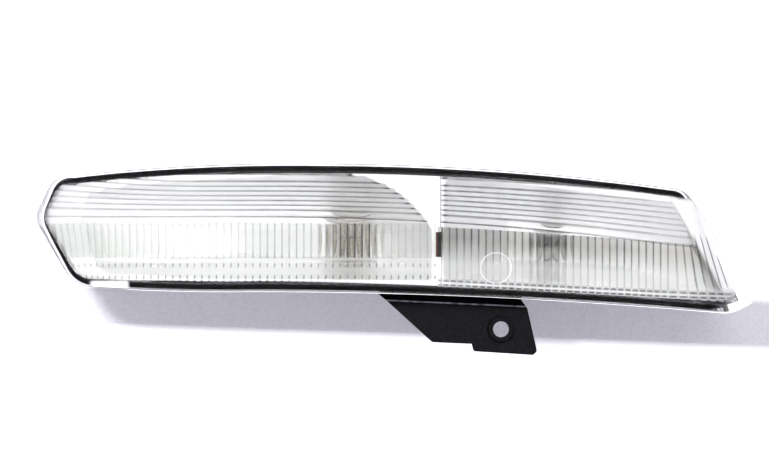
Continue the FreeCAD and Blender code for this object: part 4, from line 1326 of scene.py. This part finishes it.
def make_mesh(
    name: str,
    points: Array,
    faces: Array,
    material: bpy.types.Material,
    values: dict[str, Array],
) -> bpy.types.Object:
    """Mesh object with smooth faces and point attributes.

    Args:
        name: the object's name.
        points: places of its points in metres.
        faces: four point numbers for each face.
        material: its material.
        values: point attributes by name.

    Returns:
        The new object.
    """
    mesh = bpy.data.meshes.new(name)
    mesh.vertices.add(len(points))
    mesh.vertices.foreach_set("co", points.astype(np.float32).ravel())
    mesh.loops.add(faces.size)
    mesh.loops.foreach_set("vertex_index", faces.astype(np.int32).ravel())
    mesh.polygons.add(len(faces))
    mesh.polygons.foreach_set("loop_start", np.arange(0, faces.size, 4, dtype=np.int32))
    mesh.update(calc_edges=True)
    mesh.validate()
    for key, value in values.items():
        layer = mesh.attributes.new(key, "FLOAT", "POINT")
        layer.data.foreach_set("value", value.astype(np.float32))
    mesh.materials.append(material)
    shell = bpy.data.objects.new(name, mesh)
    bpy.context.scene.collection.objects.link(shell)
    log.info("%s: %d points, %d faces", name, len(mesh.vertices), len(mesh.polygons))
    return shell


class HelixTree:
    """Geometry Nodes tree that winds a round wire into a helix."""

    def __init__(self) -> None:
        """Build the tree with its named inputs."""
        self.tree = bpy.data.node_groups.new("wound_wire", "GeometryNodeTree")
        for name in ("Radius", "Length", "Turns", "Bead"):
            self.tree.interface.new_socket(name, in_out="INPUT", socket_type="NodeSocketFloat")
        for name in ("Start", "Turn"):
            self.tree.interface.new_socket(name, in_out="INPUT", socket_type="NodeSocketVector")
        self.tree.interface.new_socket("Finish", in_out="INPUT", socket_type="NodeSocketMaterial")
        self.tree.interface.new_socket("Geometry", in_out="OUTPUT", socket_type="NodeSocketGeometry")
        board = NodeBoard(self.tree, "NodeGroupOutput")
        entry = board.add("NodeGroupInput").outputs
        spiral = board.add("GeometryNodeCurveSpiral", {
            "Resolution": 20, "Rotations": entry["Turns"], "Height": entry["Length"],
            "Start Radius": entry["Radius"], "End Radius": entry["Radius"],
        })
        section = board.add("GeometryNodeCurvePrimitiveCircle", {
            "Resolution": 6, "Radius": entry["Bead"],
        })
        sweep = board.add("GeometryNodeCurveToMesh", {
            "Curve": spiral.outputs["Curve"], "Profile Curve": section.outputs["Curve"],
            "Fill Caps": True,
        })
        move = board.add("GeometryNodeTransform", {
            "Geometry": sweep.outputs["Mesh"], "Translation": entry["Start"], "Rotation": entry["Turn"],
        })
        realize = board.add("GeometryNodeRealizeInstances", {"Geometry": move.outputs["Geometry"]})
        dress = board.add("GeometryNodeSetMaterial", {
            "Geometry": realize.outputs["Geometry"], "Material": entry["Finish"],
        })
        board.feed(board.output.inputs["Geometry"], dress.outputs["Geometry"])
        items = self.tree.interface.items_tree
        self.keys = {item.name: item.identifier for item in items if item.in_out == "INPUT"}


class Lie(Enum):
    """Direction that a helix is wound along, as a turn from Z."""

    ALONG_X = (0.0, math.pi / 2, 0.0)
    ALONG_Y = (-math.pi / 2, 0.0, 0.0)


@dataclass
class Helix:
    """A wire wound at one radius, in millimetres.

    Attributes:
        name: the piece's name.
        start: centre of its first end.
        lie: direction that it runs in.
        radius: radius of the wire's middle line.
        length: length of the winding.
        turns: number of turns.
        bead: radius of the wire.
    """

    name: str
    start: tuple[float, float, float]
    lie: Lie
    radius: float
    length: float
    turns: float
    bead: float

    def build(self, helix: HelixTree, material: bpy.types.Material, slot: str) -> None:
        """Build the helix as a plain mesh that rides on the lamp.

        Args:
            helix: the shared tree.
            material: its finish.
            slot: material slot of the record; not used.
        """
        shell = bpy.data.objects.new(self.name, bpy.data.meshes.new(self.name))
        bpy.context.scene.collection.objects.link(shell)
        winding = shell.modifiers.new("winding", "NODES")
        winding.node_group = helix.tree
        sizes = {"Radius": self.radius, "Length": self.length, "Bead": self.bead}
        for name, value in sizes.items():
            winding[helix.keys[name]] = value * MM
        winding[helix.keys["Turns"]] = self.turns
        winding[helix.keys["Start"]] = tuple(value * MM for value in self.start)
        winding[helix.keys["Turn"]] = self.lie.value
        winding[helix.keys["Finish"]] = material
        ready = shell.evaluated_get(bpy.context.evaluated_depsgraph_get())
        mesh = bpy.data.meshes.new_from_object(ready)
        shell.modifiers.clear()
        shell.data = mesh
        mesh.name = self.name
        log.info("%s: %d faces", self.name, len(mesh.polygons))
        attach(shell, ROOT)


@dataclass
class WireWork:
    """Thread of the stud and coils of the two filaments, in millimetres.

    Attributes:
        stud: X and Z of the stud.
        thread: start and length of its thread along Y.
        thread_radius: radius of the thread's middle line.
        thread_bead: radius of the thread's ridge.
        pitch: rise of the thread in one turn.
        coil_radius: radius of the rods that the coils are wound on.
        coil_bead: radius of the coils' wire.
        coil_turns: turns of a coil for each millimetre of half its length.
        lamps: X, Z and half the coil's length for each bulb, by filament node.
    """

    stud: Point = (98.0, 36.0)
    thread: Point = (40.0, 14.0)
    thread_radius: float = 2.98
    thread_bead: float = 0.3
    pitch: float = 1.0
    coil_radius: float = 0.55
    coil_bead: float = 0.14
    coil_turns: float = 5.0
    lamps: tuple[tuple[str, float, float, float], ...] = (
        ("turn_bulb_filament", -75.0, 46.0, 3.0),
        ("position_bulb_filament", 25.0, 43.0, 2.0),
    )

    def build(self, finishes: dict[str, bpy.types.Material]) -> None:
        """Build the thread and the coils.

        Args:
            finishes: the materials by slot.
        """
        helix = HelixTree()
        start = (self.stud[0], self.thread[0], self.stud[1])
        length = self.thread[1]
        thread = Helix("stud_thread", start, Lie.ALONG_Y, self.thread_radius, length,
                       length / self.pitch, self.thread_bead)
        thread.build(helix, finishes["screw"], "screw")
        for node, x, z, half in self.lamps:
            low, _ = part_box(node)
            start = (x - half, low[1] / MM + self.coil_radius, z)
            name = node.replace("filament", "coil")
            coil = Helix(name, start, Lie.ALONG_X, self.coil_radius, 2 * half,
                         self.coil_turns * half, self.coil_bead)
            coil.build(helix, finishes["tungsten"], "tungsten")


def dress_nodes(finishes: dict[str, bpy.types.Material]) -> None:
    """Give every node of the frame but the replaced lens the finish of its slot.

    Args:
        finishes: the materials by slot.
    """
    for part in frame["record"]["subparts"]:
        if part["node"] != LENS:
            materials = frame["nodes"][part["node"]].data.materials
            materials.clear()
            materials.append(finishes[part["material_slot"]])
            log.info("dressed %s as %s", part["node"], part["material_slot"])


@dataclass
class Studio:
    """Pale floor and backdrop, soft light and the camera.

    Attributes:
        view_width: width that the picture spans at the lens, in metres.
        view_x: X at the picture's middle.
        view_z: Z at the picture's middle.
        distance: from the camera to the plane that view_width is measured in.
        sensor: sensor width in millimetres.
        plane_y: Y of that plane.
        backdrop_y: place of the backdrop behind the lamp.
        floor_z: height of the floor.
        fade_z: height below which painted light turns the boards fully white, hiding the shadow, at X =
            0.
        upper_z: height above which painted light turns them fully white, hiding the shadow, at X = 0.
        fade_width: height over which they do.
        fade_slope: fall of that height along X.
        board_tones: the two pale tones of the boards.
        board_grain: patches of those tones per metre.
        board_reach: how far the boards reach, in metres.
        glow_tone: colour of the boards' glow.
        glows: glow of the floor and of the backdrop where they keep the shadow.
        room_light: strength of the room's light on surfaces that scatter.
        gloss_reach: values of Y between which the room that gloss sees gets lighter.
        gloss_light: strength of that room in front and behind.
    """

    view_width: float = PHOTO_WIDTH * PIXEL
    view_x: float = (PHOTO_MIDDLE[0] - ORIGIN_PIXEL[0]) * PIXEL
    view_z: float = (ORIGIN_PIXEL[1] - PHOTO_MIDDLE[1]) * PIXEL
    distance: float = 4.0
    sensor: float = 36.0
    plane_y: float = -0.008
    backdrop_y: float = 0.064
    floor_z: float = -0.11
    fade_z: float = -0.004
    upper_z: float = 0.0165
    fade_width: float = 0.006
    fade_slope: float = 0.034
    board_tones: tuple[Colour, Colour] = ((0.66, 0.65, 0.71), (0.92, 0.91, 0.96))
    board_grain: float = 900.0
    board_reach: float = 3.0
    glow_tone: Colour = (0.97, 0.95, 1.0)
    glows: Point = (0.3, 0.1)
    room_light: float = 0.3
    gloss_reach: Point = (-0.1, 0.5)
    gloss_light: Point = (0.1, 1.0)

    def build(self) -> None:
        """Build the stage, the light and the camera."""
        self.world()
        self.boards()
        self.lights()
        self.camera()

    def world(self) -> None:
        """White surroundings for the camera and glass, darker in front for gloss."""
        world = bpy.data.worlds.new("pale_room")
        bpy.context.scene.world = world
        world.use_nodes = True
        board = NodeBoard(world.node_tree, "ShaderNodeOutputWorld")
        _, y, _ = board.axes(board.add("ShaderNodeTexCoord").outputs["Generated"])
        path = board.add("ShaderNodeLightPath").outputs
        glossy = path["Is Glossy Ray"]
        shine = board.math("MULTIPLY", glossy, board.spread(y, *self.gloss_reach, *self.gloss_light))
        plain = board.spread(glossy, 0.0, 1.0, self.room_light, 0.0)
        seen = board.math("MAXIMUM", path["Is Camera Ray"], path["Is Transmission Ray"])
        level = board.math("MAXIMUM", seen, board.math("ADD", shine, plain))
        board.show(board.add("ShaderNodeBackground", {"Color": (1.0, 1.0, 1.0), "Strength": level}))

    def board_material(self, name: str, glow: float) -> bpy.types.Material:
        """Pale board that shows white to the camera and keeps the lamp's shadow only in a band under the
        lens; outside it, painted light turns it fully white.

        Args:
            name: the material's name.
            glow: strength that only the camera, gloss and glass see.

        Returns:
            The material.
        """
        board = MaterialBoard(name)
        pale = board.mix(board.noise(self.board_grain, detail=4.0), *self.board_tones)
        diffuse = board.add("ShaderNodeBsdfDiffuse", {"Color": pale})
        path = board.add("ShaderNodeLightPath").outputs
        seen = board.math("MAXIMUM", path["Is Camera Ray"], path["Is Transmission Ray"])
        seen = board.math("MAXIMUM", seen, path["Is Glossy Ray"])
        x, _, z = board.axes(board.place(1.0))
        height = board.math("ADD", z, board.math("MULTIPLY", x, self.fade_slope))
        # painted light: a glow that whitens the board outside a band, hiding the lamp's shadow there
        low = board.spread(height, self.fade_z - self.fade_width, self.fade_z, 1.0, glow)
        high = board.spread(height, self.upper_z, self.upper_z + self.fade_width, glow, 1.0)
        strength = board.math("MULTIPLY", seen, board.math("MAXIMUM", low, high))
        emission = board.add("ShaderNodeEmission", {"Color": self.glow_tone, "Strength": strength})
        both = board.add("ShaderNodeAddShader", {0: diffuse.outputs[0], 1: emission.outputs[0]})
        back = board.add("ShaderNodeNewGeometry").outputs["Backfacing"]
        clear = board.add("ShaderNodeBsdfTransparent").outputs[0]
        board.show(board.add("ShaderNodeMixShader", {0: back, 1: both.outputs[0], 2: clear}))
        return board.material

    def boards(self) -> None:
        """Floor below the lamp and backdrop behind it."""
        reach, low, back = self.board_reach, self.floor_z, self.backdrop_y
        floor = [(-reach, -reach, low), (reach, -reach, low), (reach, reach, low), (-reach, reach, low)]
        wall = [(-reach, back, low), (reach, back, low), (reach, back, reach), (-reach, back, reach)]
        for name, corners, glow in zip(("floor", "backdrop"), (floor, wall), self.glows):
            mesh = bpy.data.meshes.new(name)
            mesh.from_pydata(corners, [], [(0, 1, 2, 3)])
            mesh.materials.append(self.board_material(f"pale_{name}", glow))
            board = bpy.data.objects.new(name, mesh)
            bpy.context.scene.collection.objects.link(board)

    def lights(self) -> None:
        """Soft key from the upper left, a weak fill, and a strip beside the outboard end."""
        middle = Vector((self.view_x, 0.0, self.view_z))
        self.area("key", Vector((-0.52, -1.3, 0.39)), middle, size=(0.16, 0.16), power=18.0)
        self.area("fill", Vector((0.5, -1.4, 0.7)), middle, size=(0.9, 0.9), power=6.5)
        wrap = Vector((0.112, -0.004, 0.035))
        away = Vector((0.743, 0.669, 0.0)) * 0.07
        self.area("end_strip", wrap + away, wrap, size=(0.03, 0.16), power=0.014)

    def area(self, name: str, place: Vector, target: Vector, size: Point, power: float) -> None:
        """Add one area light, hidden from the camera.

        Args:
            name: the light's name.
            place: where it stands.
            target: what it looks at.
            size: its width and height in metres.
            power: its power in watts.
        """
        data = bpy.data.lights.new(name, "AREA")
        data.shape = "RECTANGLE"
        data.size, data.size_y = size
        data.energy = power
        light = bpy.data.objects.new(name, data)
        light.location = place
        light.rotation_euler = (target - place).to_track_quat("-Z", "Y").to_euler()
        light.visible_camera = False
        bpy.context.scene.collection.objects.link(light)

    def camera(self) -> None:
        """Camera square in front of the lens, as in the photograph."""
        data = bpy.data.cameras.new("camera")
        data.sensor_width = self.sensor
        data.lens = self.sensor * self.distance / self.view_width
        camera = bpy.data.objects.new("camera", data)
        camera.location = Vector((self.view_x, self.plane_y - self.distance, self.view_z))
        camera.rotation_euler = (math.pi / 2, 0.0, 0.0)
        bpy.context.scene.collection.objects.link(camera)
        bpy.context.scene.camera = camera
        bpy.context.scene.view_settings.view_transform = "Standard"


def main() -> None:
    """Build the lamp's looks in order and report each piece."""
    logging.basicConfig(level=logging.INFO, format="%(message)s")
    finishes = build_finishes()
    dress_nodes(finishes)
    lens = FlutedLens().build(finishes[LENS])
    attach(lens, ROOT)
    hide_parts(LENS)
    ring = MouldedRing().build(finishes[LENS])
    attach(ring, ROOT)
    WireWork().build(finishes)
    Studio().build()


if __name__ == "__main__":
    main()
